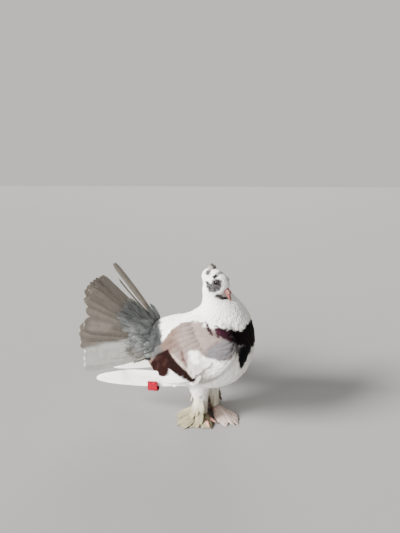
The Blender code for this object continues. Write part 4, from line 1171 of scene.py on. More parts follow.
# Slim dark feathers that end the wing: root and tip along and up the wing, half width
SLIM_ENDS = (((62, 0), (100, 3), 1.5), ((62, -2), (94, 1), 2.0))
PRIMARY_ROOT = Vector((-26, 53, 80))
PRIMARY_TIP = {RIGHT: Vector((-196, 46, 57)), LEFT: Vector((-203, 24, 48))}
PRIMARY_COUNT, PRIMARY_SHORT = 9, (0, 2, 5, 10, 17, 26, 36, 47, 58)
PRIMARY_HALF_WIDTH = 8.0


def wing_lie(along, up):
    """How far out of the wing's middle plane its feathers lie, at a place on the wing."""
    length, height, out = WING_HALF_SIZES
    reach = math.hypot(along / length, up / height)
    if reach < WING_RIM:
        return out * math.sqrt(1 - reach * reach)
    return out * math.sqrt(1 - WING_RIM ** 2) - WING_RIM_FALL * (reach - WING_RIM)


wing_finish = plumage_finish("wing feathers", 0.72, 60, slant=0.25, mottle=0.3, root_grey=0.0)
flight_set = barbed_set("flight", 20, 4, groups=20, round_from=0.8, sweep=0.13, cup=0.1, lead=0.9,
                        thick=0.009, web=True)
covert_set = barbed_set("covert", 40, 4, groups=10, round_from=0.68, sweep=0.16, splits=1, cup=0.12,
                        ragged=0.03, columns=(0.0, 0.5, 1.0))
primary_set = barbed_set("primary", 60, 4, groups=24, round_from=0.62, sweep=0.1, splits=1, cup=0.05,
                         ragged=0.01, thick=0.008, shaft_size=0.09, web=True)
for side in (RIGHT, LEFT):
    name = SIDE_NAMES[side]
    place = wing_frame(side)
    turn = place.to_3x3()
    long_ones, coverts, primaries = Quills(100 + side), Quills(110 + side), Quills(120 + side)
    for tier, count, first_tip, last_tip, first_root, last_root, half_width, rise in WING_TIERS:
        tilt = math.asin(min(0.5, 1.2 / (math.dist(first_tip, last_tip) / (count - 1))))
        for i in range(count):
            t = i / (count - 1)
            shift = Vector((coverts.draw.uniform(-2, 2), coverts.draw.uniform(-0.6, 0.6)))
            tip = Vector(first_tip).lerp(Vector(last_tip), t) + shift
            root = Vector(first_root).lerp(Vector(last_root), t)
            spots = []
            for k in (0.0, 0.5, 1.0):
                along, up = root.lerp(tip, k)
                out = wing_lie(along, up) + rise * min(1, 2.5 * k) - 2.0 * (1 - min(1, 2.5 * k))
                spots.append(place @ Vector((-along, -side * up, out)))
            face = turn @ Vector((0, side * math.sin(tilt), math.cos(tilt)))
            bow = (spots[1] - (spots[0] + spots[2]) / 2).dot(face)
            into = coverts if "coverts" in tier else long_ones
            into.add(spots[0], spots[2], face, half_width, bow)
    for root, tip, half_width in SLIM_ENDS:
        long_ones.add(place @ Vector((-root[0], -side * root[1], 14)),
                      place @ Vector((-tip[0], -side * tip[1], 8)), turn @ Vector((0, 0, 1)), half_width)
    way = (PRIMARY_TIP[side] - PRIMARY_ROOT).normalized()
    out = Vector((0, 1, 0)) - way * way.y
    rise = Vector((0, 0, 1)) - way * way.z
    mirror = Vector((1, side, 1))
    for i in range(PRIMARY_COUNT):
        shift = rise * 2.2 * i + out * 0.6 * (i - PRIMARY_COUNT / 2)
        tip = (PRIMARY_TIP[side] + shift - way * (PRIMARY_SHORT[i] + 1)) * mirror
        lean = Vector((0, 1, 0.05)) * mirror
        primaries.add((PRIMARY_ROOT + shift) * mirror, tip, lean, PRIMARY_HALF_WIDTH - 0.3 * i, bow=0.8)
    made = [("wing_secondaries_", long_ones, flight_set), ("wing_coverts_", coverts, covert_set),
            ("wing_primaries_", primaries, primary_set)]
    for part, quills, feathers in made:
        piece = quills.laid(part + name, feathers, wing_finish, seed=5 + side)
        toss = read(piece.data, "toss", 1)[:, 0]
        if "primaries" in part:
            colours = np.tile(WHITE, (len(toss), 1)) * (0.95 + 0.08 * toss[:, None])
        else:
            local = local_to(place, bird_place(piece.data))
            colours = wing_colours(-local[:, 0], -side * local[:, 1], toss)
        coloured(piece, colours)
        if "coverts" in part:
            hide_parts("wing_" + name)


# Tail
# A raised fan, cocked open behind the bird like a cone that opens backwards. Its feathers
# overlap side by side in two halves, and tiers of loose slate coverts cover their roots.
TAIL_COUNT = 13
# Turn of a feather from the middle of the tail in degrees, and how far its tip then reaches
FAN_EDGE = {
    RIGHT: ((8, 145), (18, 149), (36, 149), (48, 140), (55, 117), (60, 113), (67, 133), (76, 145),
            (84, 137), (91, 131), (108, 138)),
    LEFT: ((8, 144), (40, 141), (70, 136), (84, 128), (92, 138), (105, 136)),
}
# Two feathers that stand up alone: climb and turn aside in degrees, reach, half width and bow
LONE_FEATHERS = ((50.8, 3, 150, 7.0, 1.5), (46, 3, 123, 1.9, -4.0))
# Tiers of loose coverts: where they are rooted, their share of the reach, and their number
COVERT_TIERS = ((30, 1.0, 27), (24, 0.86, 29), (18, 0.72, 28), (12, 0.58, 26), (8, 0.45, 22))
LAST_COVERED = {RIGHT: math.radians(106), LEFT: math.radians(100)}
# Turn in degrees from which the tail's feathers are painted pale, as painted light on the low feathers that
# lie flat and face up
LIT_PALE_FROM = 91
UNDER_GREY = colour(150, 146, 140)
# How far the slate coverts reach from the tail's root, by the turn round the fan in degrees
COVERT_EDGE = ((20, 50, 60, 75, 90, 110), (80, 86, 72, 65, 62, 52))
tail_finish = plumage_finish("tail feathers", 0.55, 70, slant=0.3, mottle=0.5, root_grey=0.05)
down_finish = plumage_finish("loose coverts", 0.9, 26, slant=0.3, mottle=0.5, root_grey=0.15)
tail_set = barbed_set("rectrix", 80, 5, groups=22, round_from=0.86, sweep=0.08, splits=0, ragged=0.004,
                      thick=0.007, cup=0.1, shaft_size=0.055, web=True)
loose_set = barbed_set("loose", 90, 5, groups=8, round_from=0.5, sweep=0.4, ragged=0.12, loose=0.4,
                       cup=0.1, shaft_size=0.05, columns=(0.0, 0.5, 1.0))


def fan_quill(quills, side, turn, root, reach, half_width, rise, tilt, bow):
    """Adds a feather of the tail's cone, tilted so that it overlaps the next one."""
    way, around = tail_way(side, turn)
    out = (around - way * around.dot(way)).normalized()
    onward = (tail_way(side, turn + 0.01)[0] - way).normalized()
    face = out * math.cos(tilt) - onward * math.sin(tilt)
    tip = tail_place(side, turn + quills.draw.uniform(-0.01, 0.01), reach) + out * (rise + 3)
    quills.add(tail_place(side, turn, root) + out * rise, tip, face, half_width, bow)


def fan_places(piece, side):
    """Turn from the middle of the tail in degrees, and reach from its apex, of a piece's points."""
    offset = bird_place(piece.data) - np.array(TAIL_APEX)
    top = np.array((math.sin(TAIL_AXIS[side]), 0, math.cos(TAIL_AXIS[side])))
    return np.degrees(np.arctan2(side * offset[:, 1], offset @ top)), np.linalg.norm(offset, axis=1)


for side in (RIGHT, LEFT):
    name = SIDE_NAMES[side]
    fan, coverts, under = Quills(200 + side), Quills(210 + side), Quills(220 + side)
    edge_turns, edge_reaches = np.array(FAN_EDGE[side]).T
    for degrees in np.linspace(edge_turns[0], edge_turns[-1], TAIL_COUNT):
        degrees += fan.draw.uniform(-1.5, 1.5)
        reach = np.interp(degrees, edge_turns, edge_reaches) + fan.draw.uniform(-1.5, 1.0)
        half_width = fan.draw.uniform(14.0, 16.0)
        fan_quill(fan, side, math.radians(degrees), 14, reach, half_width, 0.0, 0.13, bow=-1.0)
    if side == LEFT:
        for climb, aside, reach, half_width, bow in LONE_FEATHERS:
            climb, aside = math.radians(climb), math.radians(aside)
            way = Vector((-math.cos(climb) * math.cos(aside), math.sin(aside),
                          math.sin(climb) * math.cos(aside)))
            fan.add(TAIL_APEX + Vector((-9, 7.5, 15)), TAIL_APEX + way * reach,
                    Vector((math.sin(climb), -0.27, math.cos(climb))), half_width, bow)
        for k in range(14):
            climb = math.radians(coverts.draw.uniform(32, 66))
            root = TAIL_APEX + Vector((-4, coverts.draw.uniform(1, 9), 12))
            tip = root + Vector((-math.cos(climb), 0.05, math.sin(climb))) * coverts.draw.uniform(24, 40)
            coverts.add(root, tip, Vector((math.sin(climb), -0.5, math.cos(climb))), 4.4, 1.5)
    for tier, (root, share, number) in enumerate(COVERT_TIERS):
        for i in range(number):
            turn = 0.06 + (LAST_COVERED[side] - 0.06) * (i + coverts.draw.uniform(-0.4, 0.4)) / (number - 1)
            turn = max(turn, 0.03)
            reach = share * np.interp(math.degrees(turn), *COVERT_EDGE)
            longer, half_width = coverts.draw.uniform(-9, 7), coverts.draw.uniform(3.6, 6.0)
            fan_quill(coverts, side, turn, root, reach + longer, half_width, 2.0 + 0.7 * tier,
                      coverts.draw.uniform(-0.25, 0.35), bow=1.5)
            if tier < 4:
                fan_quill(under, side, turn * 1.12, root - 4, reach - 6 + under.draw.uniform(-9, 6), 6.0,
                          -4.0 - 0.6 * tier, under.draw.uniform(-0.25, 0.35), bow=-1.0)
    for part, quills, feathers, finish in (("tail_feathers_", fan, tail_set, tail_finish),
                                           ("tail_coverts_", coverts, loose_set, down_finish),
                                           ("tail_undercoverts_", under, loose_set, down_finish)):
        piece = quills.laid(part + name, feathers, finish, seed=9 + side)
        toss = read(piece.data, "toss", 1)[:, 0]
        turn, reach = fan_places(piece, side)
        if part == "tail_feathers_":
            across = read(piece.data, "across", 1)[:, 0]
            # Each feather is painted darker along its covered edge, as painted shade of the overlap.
            shade = (0.86 + 0.3 * toss) * (1 - 0.28 * step_between(0.3, 1.0, across))
            shade *= 0.88 + 0.24 * reach / TAIL_LENGTH
            colours = np.tile(TAIL_GREY, (len(toss), 1)) * shade[:, None]
            light = step_between(60, 66, turn) * (1 - step_between(70, 76, turn))
            light *= step_between(80, 95, reach) * (1 - step_between(118, 130, reach))
            colours = over(colours, TAIL_GREY * 1.5, 0.75 * light)
            # The lowest feathers are painted pale, as painted light where they lie flat and face up.
            pale = step_between(LIT_PALE_FROM - 2, LIT_PALE_FROM + 2, turn)
            colours = over(colours, TAIL_PALE_LIT * (0.9 + 0.15 * toss[:, None]), pale)
            # The upright feathers of the left half are painted a lighter grey, as painted light.
            if side == LEFT:
                colours = over(colours, TAIL_GREY * 1.2, 1 - step_between(6, 8, turn))
        elif part == "tail_coverts_":
            shade = (0.65 + 0.6 * toss) * (1 + 1.2 * step_between(48, 76, turn) * step_between(26, 60, reach))
            shade *= 1 + 0.6 * step_between(84, 100, turn)
            colours = np.tile(COVERT_BLUE, (len(toss), 1)) * shade[:, None]
            share = reach / np.interp(turn, *COVERT_EDGE) + 0.2 * (toss - 0.5)
            ends = TAIL_GREY * (0.85 + 0.3 * toss[:, None])
            colours = over(colours, ends, 0.7 * step_between(0.9, 1.15, share))
        else:
            colours = np.tile(UNDER_GREY, (len(toss), 1)) * (0.7 + 0.5 * toss[:, None])
        coloured(piece, colours)
        if part == "tail_feathers_":
            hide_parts("tail_" + name)


# Legs and feet
# Feathered shanks over bare toes with a row of scutes along the top of each, and curved
# claws. Long muff feathers grow from the toes and lie on the floor round each foot, and
# looser ones hang from the back of each leg.
TOE_SPREAD, TOE_RADIUS, SOLE = math.radians(32), 4.6, 0.8
TOE_LENGTHS = {-1: 25, 0: 30, 1: 24}
HIND_TOE_LENGTH = 14
TOE_STEPS, TOE_SIDES = 60, 18
SCUTES, SCUTE_RISE = 11, 0.09
CLAW_LENGTH, CLAW_RADIUS, CLAW_STEPS, CLAW_SIDES = 7.5, 1.5, 14, 14
FOOT_HEADING = {RIGHT: math.radians(-52), LEFT: math.radians(-30)}
# Directions of the muff's feathers in degrees with their lengths, as stretches of the round
MUFFS = {
    RIGHT: (((-160, 46), (-141, 54), (-122, 50), (-103, 38), (-78, 32), (-44, 36)),),
    LEFT: (((-64, 44), (-45, 56), (-28, 60), (-9, 50)), ((98, 40), (120, 42), (142, 38))),
}
# Layers of the muff from the floor up: how much shorter, how much higher, and half width
MUFF_LAYERS = ((0, 0, 4.8), (5, 2.6, 4.5), (11, 5.0, 4.2), (19, 7.5, 3.8))
MUFF_STEP = 8.5
HANGING_COUNT, TUFT_COUNT = 26, 16
UPRIGHT = Vector((0, 0, 1))
FLOOR_GAP = 0.05


def ramped(tree, shader, value, stops):
    """Colours a surface by a value, along a ramp of places and screen colours."""
    ramp = added(tree, "ShaderNodeValToRGB", {0: value})
    for i, (place, tone) in enumerate(stops):
        if i < 2:
            stop = ramp.color_ramp.elements[i]
            stop.position = place
        else:
            stop = ramp.color_ramp.elements.new(place)
        stop.color = (*colour(*tone), 1)
    tree.links.new(ramp.outputs[0], shader.inputs["Base Color"])


def dressed(piece, finish):
    """Gives a piece its finish and sets it on the bird."""
    outward(piece)
    piece.data.materials.append(finish)
    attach(piece, "root")


toe_finish, tree, shader = simple_finish("scaled toes")
place = added(tree, "ShaderNodeTexCoord").outputs["Object"]
scales = added(tree, "ShaderNodeTexVoronoi", {"Vector": place, "Scale": 620.0},
               feature="DISTANCE_TO_EDGE").outputs[0]
raised = sum_of(tree, "MINIMUM", sum_of(tree, "MULTIPLY", scales, 6.0), 1.0)
tone = sum_of(tree, "MULTIPLY", raised, sum_of(tree, "ADD", grain_of(tree, 160.0, 3.0), 0.35))
ramped(tree, shader, tone, ((0.1, (140, 84, 72)), (0.6, (196, 140, 122)), (1.0, (222, 180, 160))))
bumped(tree, shader, raised, 0.0004)

claw_finish, tree, shader = simple_finish("claw horn", 0.32)
lines = grain_of(tree, 700.0, 3.0)
out_on_claw = added(tree, "ShaderNodeAttribute", attribute_name="out").outputs["Fac"]
tone = sum_of(tree, "ADD", sum_of(tree, "MULTIPLY", lines, 0.25), sum_of(tree, "MULTIPLY", out_on_claw, 0.8))
ramped(tree, shader, tone, ((0.1, (206, 178, 158)), (0.55, (150, 118, 100)), (1.0, (84, 64, 56))))
bumped(tree, shader, lines, 0.00008)
shader.inputs["Coat Weight"].default_value = 0.3

muff_finish = plumage_finish("muff feathers", 0.9, 30, slant=0.25, mottle=0.3, root_grey=0.1)
muff_set = barbed_set("muff", 130, 6, groups=11, round_from=0.66, sweep=0.2, ragged=0.06, loose=0.12,
                      cup=0.14, shaft_size=0.06, columns=(0.0, 0.5, 1.0))


def tube_rings(line, radii, sides):
    """Rings along a line of points, square to its course; a radius may differ round the ring."""
    rings = []
    for i, point in enumerate(line):
        ahead = (line[min(i + 1, len(line) - 1)] - line[max(i - 1, 0)]).normalized()
        across = ahead.cross(UPRIGHT).normalized()
        up = across.cross(ahead)
        ring = []
        for j in range(sides):
            angle = math.tau * j / sides
            radius = radii[i](angle) if callable(radii[i]) else radii[i]
            ring.append(point + (across * math.sin(angle) + up * math.cos(angle)) * radius)
        rings.append(ring)
    return rings


def above_floor(points, faces):
    """A form whose points are held just above the floor."""
    return [(x, y, max(z, FLOOR_GAP)) for x, y, z in points], faces


def toe_radius(t):
    """Radius of a toe at a place along it, knuckled, with its scutes on the upper side."""
    knuckle = 0.05 * math.cos(t * math.tau * 3)
    size = TOE_RADIUS * 0.92 * (1.25 - 0.42 * t - 0.38 * max(0, t - 0.8) / 0.2 + knuckle)
    saw = (t * SCUTES) % 1
    step = SCUTE_RISE * (0.7 * saw - 0.35 if saw < 0.86 else 0.25 - 4.2 * (saw - 0.86))

    def at(angle):
        upper = max(0, math.cos(angle)) ** 0.6
        return size * (1 + step * upper + 0.02 * math.sin(9 * angle + 40 * t))

    return at


for side in (RIGHT, LEFT):
    name = SIDE_NAMES[side]
    ankle, heading = ANKLE[side], FOOT_HEADING[side]
    ends = [(heading + place * TOE_SPREAD, length) for place, length in TOE_LENGTHS.items()]
    ends.append((heading + math.pi, HIND_TOE_LENGTH))
    toe_forms, claw_forms, out_marks = [], [], []
    for way, length in ends:
        out = Vector((math.cos(way), math.sin(way), 0))
        line = []
        for k in range(TOE_STEPS):
            t = k / (TOE_STEPS - 1)
            drop = (TOE_RADIUS - SOLE - ankle.z) * min(1, t / 0.5)
            line.append(ankle + out * length * t + Vector((0, 0, drop)))
        radii = [toe_radius(k / (TOE_STEPS - 1)) for k in range(TOE_STEPS)]
        toe_forms.append(above_floor(*lofted(tube_rings(line, radii, TOE_SIDES))))
        start = Vector((ankle.x, ankle.y, 0)) + out * (length - 2)
        line, radii = [], []
        for k in range(CLAW_STEPS):
            t = k / (CLAW_STEPS - 1)
            line.append(start + out * (CLAW_LENGTH + 1) * t + Vector((0, 0, 3.3 + 1.4 * t - 3.6 * t ** 3)))
            radii.append(CLAW_RADIUS * (1.05 - 0.95 * t ** 1.4))
            out_marks += [t] * CLAW_SIDES
        claw_forms.append(above_floor(*lofted(tube_rings(line, radii, CLAW_SIDES))))
        out_marks += [0, 1]
    toes = shown("toes_" + name, *joined(toe_forms))
    claws = shown("claws_" + name, *joined(claw_forms))
    write(claws.data, "out", np.array(out_marks, float)[:, None])
    for piece, finish in ((toes, toe_finish), (claws, claw_finish)):
        dressed(piece, finish)
    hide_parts("foot_" + name)
    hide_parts(*[f"claw_{name}_{i}" for i in (1, 2, 3, 4)])

    muff, hanging = Quills(300 + side), Quills(310 + side)
    base = Vector((ankle.x, ankle.y, 0))
    for stretch in MUFFS[side]:
        turns, lengths = np.array(stretch, float).T
        for k, (shorter, lift, half_width) in enumerate(MUFF_LAYERS):
            for degrees in np.arange(turns[0] + k * MUFF_STEP / 3, turns[-1] + 1, MUFF_STEP):
                angle = math.radians(degrees + muff.draw.uniform(-3, 3))
                length = np.interp(degrees, turns, lengths) - shorter + muff.draw.uniform(-5, 0)
                out = Vector((math.cos(angle), math.sin(angle), 0))
                root = base + out * 4 + UPRIGHT * (8 + lift)
                tip = base + out * length + UPRIGHT * (0.9 + lift * 0.4)
                muff.add(root, tip, UPRIGHT, half_width, bow=muff.draw.uniform(0.6, 2.4))
    if side == RIGHT:
        for k in range(TUFT_COUNT):
            angle = math.radians(muff.draw.uniform(-176, -152))
            out = Vector((math.cos(angle), math.sin(angle), 0))
            share = muff.draw.uniform(0, 1)
            root = base + out * 4 + UPRIGHT * (18 + 16 * share)
            tip = base + out * (48 - 14 * share) + UPRIGHT * (3 + 8 * share)
            muff.add(root, tip, Vector((-0.2, -0.5, 0.8)), 3.0, bow=-2.5)
    for i in range(HANGING_COUNT):
        t = (i + 0.5) / HANGING_COUNT
        turned = math.radians(125 + 165 * ((i * 0.618) % 1))
        out = Vector((math.cos(turned), -side * math.sin(turned), 0))
        root_height = 26 + 30 * t + hanging.draw.uniform(-4, 4)
        middle = ankle.lerp(LEG_TOP[side], (root_height - ankle.z) / (LEG_TOP[side].z - ankle.z))
        reach = 19 + 7 * (1 - t) + hanging.draw.uniform(-3, 3)
        tip_height = max(4, root_height - 30 + hanging.draw.uniform(-6, 4))
        tip = Vector((ankle.x, ankle.y, tip_height)) + out * reach
        hanging.add(middle + out * 7, tip, out, 4.4, bow=1.0)
    for part, quills in (("foot_muff_", muff), ("leg_feathers_", hanging)):
        piece = quills.laid(part + name, muff_set, muff_finish, seed=13 + side)
        toss = read(piece.data, "toss", 1)[:, 0]
        height = bird_place(piece.data)[:, 2]
        # The near foot's muff is painted a darker cream than the far one's pink: partly their own tones,
        # partly painted shade on the near foot.
        tone = MUFF_CREAM_SHADED if side == RIGHT else MUFF_PINK
        colours = np.tile(tone, (len(toss), 1)) * (0.86 + 0.2 * toss[:, None])
        # The upper feathers are painted cream too: partly their own cream, partly painted shade under the
        # body.
        coloured(piece, over(colours, LEG_CREAM_SHADE * 1.1, step_between(16, 40, height)))


# Head
# Dark glossy eyes, each in a ring of bare pleated lid, a short curved bill with a powdery
# cere over its nostrils, and a small peak of feathers across the back of the crown.
EYE_PLACE, EYE_RADIUS = Vector((7.5, 11.8, 7.2)), 4.4
LID_PLACE, LID_RADIUS, LID_SIZE, PLEATS = 2.55, 3.75, 0.72, 22
BILL_BASE, BILL_DIP, BILL_LENGTH = Vector((23.2, 0, 0)), math.radians(29), 18.5
BILL_HALF_WIDTH, BILL_UPPER_HEIGHT, BILL_LOWER_HEIGHT, BILL_HOOK = 4.9, 5.2, 3.8, 1.8
MOUTH_GAP = 0.3
NOSTRIL_PLACE, NOSTRIL_REACH, NOSTRIL_DEPTH = Vector((5.6, 3.9, 3.7)), Vector((2.0, 9.0, 0.8)), 1.3
CREST_ROOT, CREST_LENGTH, CREST_COUNT = Vector((-16, 0, 12.5)), 10.0, 19
CREST_SPREAD, CREST_LEAN = math.radians(26), math.radians(28)
CREST_DARK = colour(72, 67, 55)
EYE_RINGS, EYE_SIDES, LID_RINGS, LID_SIDES = 28, 36, 88, 12
BILL_RINGS, BILL_SIDES, BILL_HIDDEN, CERE_RINGS = 44, 26, 5, 22

eye_finish, tree, shader = simple_finish("eye", 0.06)
from_pupil = added(tree, "ShaderNodeAttribute", attribute_name="from_pupil").outputs["Fac"]
flecks = sum_of(tree, "SUBTRACT", grain_of(tree, 900.0, 3.0), 0.5)
mark = sum_of(tree, "ADD", from_pupil, sum_of(tree, "MULTIPLY", flecks, 0.05))
ramped(tree, shader, mark, ((0.0, (4, 3, 3)), (0.56, (5, 4, 4)), (0.6, (34, 18, 12)),
                            (0.78, (26, 14, 10)), (0.88, (10, 7, 7))))
shader.inputs["Coat Weight"].default_value = 0.15
shader.inputs["Coat Roughness"].default_value = 0.03
shader.inputs["Specular IOR Level"].default_value = 0.15

lid_finish, tree, shader = simple_finish("lid skin", 0.55)
grain = grain_of(tree, 1400.0, 3.0)
ramped(tree, shader, grain, ((0.3, (30, 22, 24)), (0.6, (52, 40, 40)), (0.8, (84, 66, 64))))
bumped(tree, shader, grain, 0.00012)

for side in (RIGHT, LEFT):
    name = SIDE_NAMES[side]
    centre = head_frame @ Vector((EYE_PLACE.x, side * EYE_PLACE.y, EYE_PLACE.z))
    out = (head_frame.to_3x3() @ Vector((0.12, side, 0.05))).normalized()
    across = (head_frame.to_3x3() @ Vector((1, 0, 0))).cross(out).normalized()
    ahead = out.cross(across)
    rings, marks = [], []
    for k in range(EYE_RINGS):
        angle = math.pi * (k + 0.25) / (EYE_RINGS - 0.5)
        radius = EYE_RADIUS * math.sin(angle)
        middle = centre + out * EYE_RADIUS * math.cos(angle)
        rings.append(ring_round(middle, across * radius, ahead * radius, EYE_SIDES))
        marks += [min(1, radius / EYE_RADIUS if angle < math.pi / 2 else 1)] * EYE_SIDES
    eye = shown("eye_ball_" + name, *lofted(rings))
    write(eye.data, "from_pupil", np.array(marks + [0, 1], float)[:, None])
    rings = []
    for k in range(LID_RINGS):
        angle = math.tau * k / LID_RINGS
        radial = ahead * math.cos(angle) + across * math.sin(angle)
        radius = LID_RADIUS * (1 + 0.07 * math.cos(2 * angle))
        size = LID_SIZE * (1 + 0.16 * math.sin(PLEATS * angle))
        middle = centre + out * LID_PLACE + radial * (radius + 0.25 * size)
        rings.append(ring_round(middle, radial * size * 0.9, out * size, LID_SIDES))
    lid = shown("lid_" + name, *lofted(rings, endless=True))
    dressed(eye, eye_finish)
    dressed(lid, lid_finish)
    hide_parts("eye_" + name)

bill_frame = head_frame @ Matrix.Translation(BILL_BASE) @ Matrix.Rotation(BILL_DIP, 4, "Y")
horn_finish, tree, shader = simple_finish("bill horn", 0.42)
grain = grain_of(tree, 500.0, 4.0)
out_on_bill = added(tree, "ShaderNodeAttribute", attribute_name="out").outputs["Fac"]
tone = sum_of(tree, "ADD", sum_of(tree, "MULTIPLY", grain, 0.3), sum_of(tree, "MULTIPLY", out_on_bill, 0.75))
ramped(tree, shader, tone, ((0.1, (134, 82, 78)), (0.5, (130, 80, 75)), (0.8, (120, 77, 70)),
                            (1.0, (84, 54, 47))))
bumped(tree, shader, grain, 0.0001)
shader.inputs["Specular IOR Level"].default_value = 0.25
cere_finish, tree, shader = simple_finish("powdery cere", 0.85)
grain = grain_of(tree, 1100.0, 4.0)
ramped(tree, shader, grain, ((0.3, (130, 90, 85)), (0.7, (158, 124, 117))))
bumped(tree, shader, grain, 0.0002)

for name, top in (("upper", True), ("lower", False)):
    height = BILL_UPPER_HEIGHT if top else BILL_LOWER_HEIGHT
    length = BILL_LENGTH if top else BILL_LENGTH - BILL_HOOK
    rings, marks = [], []
    for k in range(BILL_RINGS):
        t = k / (BILL_RINGS - 1)
        taper = math.sqrt(max(1 - t ** 2.4, 0.004)) * (1 - 0.45 * t)
        along = -BILL_HIDDEN + (length + BILL_HIDDEN) * t
        droop = -BILL_HOOK * max(along / BILL_LENGTH, 0) ** 4
        edge = MOUTH_GAP / 2 if top else -MOUTH_GAP / 2
        ring = []
        for j in range(BILL_SIDES):
            angle = math.pi * j / (BILL_SIDES - 1)
            side_way, rise = math.cos(angle) * BILL_HALF_WIDTH * taper, math.sin(angle) * height * taper
            spot = Vector((along, side_way, edge + droop + (rise if top else -rise)))
            if top:
                off = Vector((spot.x, abs(spot.y), spot.z)) - NOSTRIL_PLACE
                gap = Vector([off[i] / NOSTRIL_REACH[i] for i in range(3)])
                spot.y *= 1 - NOSTRIL_DEPTH / BILL_HALF_WIDTH * math.exp(-2 * gap.length_squared)
            ring.append(bill_frame @ spot)
        rings.append(ring)
        marks += [max(0, along / BILL_LENGTH)] * BILL_SIDES
    bill = shown("bill_horn_" + name, *lofted(rings))
    write(bill.data, "out", np.array(marks + [0, 1], float)[:, None])
    dressed(bill, horn_finish)
    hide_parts("bill_" + name)

lobes = []
for side in (RIGHT, LEFT):
    rings = []
    for k in range(1, CERE_RINGS):
        angle = math.pi * k / CERE_RINGS
        size = math.sin(angle) * (1 + 0.05 * math.sin(7 * angle))
        back = math.cos(angle)
        middle = Vector((3.4 - 4.4 * back, side * (1.9 + 0.5 * back), 4.6 - 0.5 * back))
        across, up = Vector((0, 2.3 * size, 0)), Vector((0, 0, 1.7 * size))
        rings.append([bill_frame @ p for p in ring_round(middle, across, up, 24)])
    lobes.append(lofted(rings))
cere = shown("cere", *joined(lobes))
dressed(cere, cere_finish)

crest = Quills(400)
for i in range(CREST_COUNT):
    place = 2 * i / (CREST_COUNT - 1) - 1
    row = i % 3
    lean = Matrix.Rotation(-CREST_LEAN - 0.16 * (row - 1), 3, "Y")
    turn = Matrix.Rotation(-place * CREST_SPREAD, 3, "X") @ lean
    root = CREST_ROOT + Vector((2.0 - 1.6 * row, place * 6, -1.4 * place * place - 1))
    long = CREST_LENGTH * (1.06 - 0.42 * place * place) * crest.draw.uniform(0.82, 1.0)
    crest.add(head_frame @ root, head_frame @ (root + turn @ UPRIGHT * long),
              head_frame.to_3x3() @ turn @ Vector((1, 0, 0)), crest.draw.uniform(1.8, 2.6), bow=-0.6)
crest_finish = plumage_finish("crest feathers", 0.95, 20, slant=0.25, mottle=0.3, root_grey=0.1)
piece = crest.laid("crest", muff_set, crest_finish, seed=21)
toss = read(piece.data, "toss", 1)[:, 0]
colours = np.tile(WHITE, (len(toss), 1)) * (0.9 + 0.1 * toss[:, None])
aside = local_to(head_frame, bird_place(piece.data))[:, 1]
coloured(piece, over(colours, CREST_DARK, 0.85 * step_between(-4, -2, aside + 3 * (toss - 0.5))))


# Tape
# A short red tape folded round the lower edge of the right wing's long feathers, thin and
# creased, with its two ends up along both sides of the wing.
TAPE_PLACE, TAPE_LENGTH, TAPE_DEPTH, TAPE_HALF_GAP = 0.30, 18, 18, 4.2
TAPE_LOW, TAPE_FOLD, TAPE_THICKNESS = -13.0, 2.0, 0.35
WALL_STEPS, FOLD_STEPS, ACROSS = 24, 12, 26
wing_way = (PRIMARY_TIP[RIGHT] - PRIMARY_ROOT).normalized()
tape_middle = PRIMARY_ROOT.lerp(PRIMARY_TIP[RIGHT], TAPE_PLACE)
course = []
for k in range(WALL_STEPS + 1):
    course.append((-TAPE_HALF_GAP, TAPE_DEPTH - (TAPE_DEPTH - TAPE_FOLD) * k / WALL_STEPS))
for k in range(1, FOLD_STEPS):
    angle = math.pi * k / FOLD_STEPS
    course.append((-TAPE_HALF_GAP * math.cos(angle), TAPE_FOLD - TAPE_FOLD * math.sin(angle)))
course += [(-out, up) for out, up in reversed(course[:WALL_STEPS + 1])]
points, faces = [], []
for k, (out, up) in enumerate(course):
    for i in range(ACROSS):
        along = TAPE_LENGTH * (i / (ACROSS - 1) - 0.5)
        ragged = 0.35 * math.sin(1.9 * k) if i in (0, ACROSS - 1) else 0
        crease = 0.30 * math.sin(0.9 * along + 0.55 * up) + 0.22 * math.sin(1.7 * along - 0.8 * up + 1)
        crease += 0.25 * math.sin(0.5 * along + 1.3 * up + 2)
        swell = 1 + 0.12 * crease * (1 if abs(out) > 2 else 0)
        low = TAPE_LOW + (0.5 * crease if up < TAPE_FOLD else 0)
        aside = tape_middle.y + wing_way.y / wing_way.x * along + out * swell
        height = tape_middle.z + wing_way.z / wing_way.x * along + low + up
        points.append((tape_middle.x + along + ragged, -aside, height))
for k in range(len(course) - 1):
    for i in range(ACROSS - 1):
        a = k * ACROSS + i
        faces.append((a, a + 1, a + ACROSS + 1, a + ACROSS))
tape = shown("red_tape", points, faces)
outward(tape)
walls = tape.modifiers.new("thickness", "SOLIDIFY")
walls.thickness = TAPE_THICKNESS * MM
walls.offset = 0
settled(tape)
tape_finish, tree, shader = simple_finish("red tape", 0.42)
shader.inputs["Specular IOR Level"].default_value = 0.25
wrinkles = grain_of(tree, 260.0, 4.0)
ramped(tree, shader, wrinkles, ((0.3, (112, 0, 20)), (0.7, (150, 0, 34))))
bumped(tree, shader, wrinkles, 0.0006)
tape.data.materials.append(tape_finish)
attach(tape, "root")
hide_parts("wing_tape")


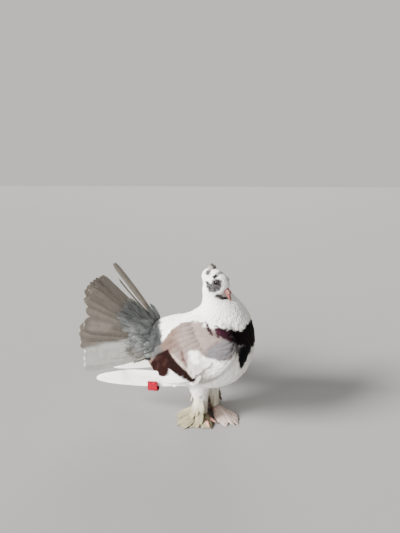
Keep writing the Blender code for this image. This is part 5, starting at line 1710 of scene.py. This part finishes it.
# Floor, light and camera
# A plain pale floor under an even pale backdrop. A soft sun stands to the front left, with weak
# ones in front and behind, and the camera looks at the bird's right side from a little above.
CAMERA_PLACE, SENSOR_WIDTH, PICTURE_SHAPE = (0.2702, -0.5940, 0.400), 36, 400 / 533
FLOOR_REACH, FLOOR_TONE = 30, (0.244, 0.2387, 0.2272, 1)
BACKDROP, ROUND_LIGHT = 0.70, 0.33
camera = placed("camera", bpy.data.cameras.new("camera"))
camera.data.sensor_width = SENSOR_WIDTH
camera.data.lens = SENSOR_WIDTH * PICTURE_SHAPE
camera.data.clip_start = 0.01
turn_to_bird, look_down = math.radians(20), math.radians(12)
ahead = Vector((-math.sin(turn_to_bird) * math.cos(look_down),
                math.cos(turn_to_bird) * math.cos(look_down), -math.sin(look_down)))
right = Vector((math.cos(turn_to_bird), math.sin(turn_to_bird), 0))
above = right.cross(ahead)
axes = Matrix((right, above, -ahead)).transposed().to_4x4()
camera.matrix_world = Matrix.Translation(CAMERA_PLACE) @ axes
bpy.context.scene.camera = camera

floor = placed("floor", bpy.data.meshes.new("floor"))
corners = [(x * FLOOR_REACH, y * FLOOR_REACH, 0) for x, y in ((-1, -1), (1, -1), (1, 1), (-1, 1))]
floor.data.from_pydata(corners, [], [(0, 1, 2, 3)])
floor_finish, tree, shader = simple_finish("pale floor", 0.9)
shader.inputs["Base Color"].default_value = FLOOR_TONE
floor.data.materials.append(floor_finish)
world = bpy.data.worlds.new("studio")
world.use_nodes = True
tree = world.node_tree
tree.nodes["Background"].inputs[0].default_value = (1.0, 0.98, 0.95, 1)
seen = added(tree, "ShaderNodeLightPath").outputs["Is Camera Ray"]
strength = sum_of(tree, "MULTIPLY_ADD", seen, BACKDROP - ROUND_LIGHT, ROUND_LIGHT)
tree.links.new(strength, tree.nodes["Background"].inputs[1])
bpy.context.scene.world = world
for name, way, softness, power in (("key", (-0.66, -0.58, 0.48), 20, 12.5),
                                   ("back", (-0.25, 0.85, 0.5), 30, 1.8),
                                   ("front", (-0.35, -0.92, 0.14), 50, 5.5)):
    lamp = placed(name, bpy.data.lights.new(name, "SUN"))
    lamp.data.angle = math.radians(softness)
    lamp.data.energy = power
    lamp.rotation_euler = Vector(way).to_track_quat("Z", "Y").to_euler()
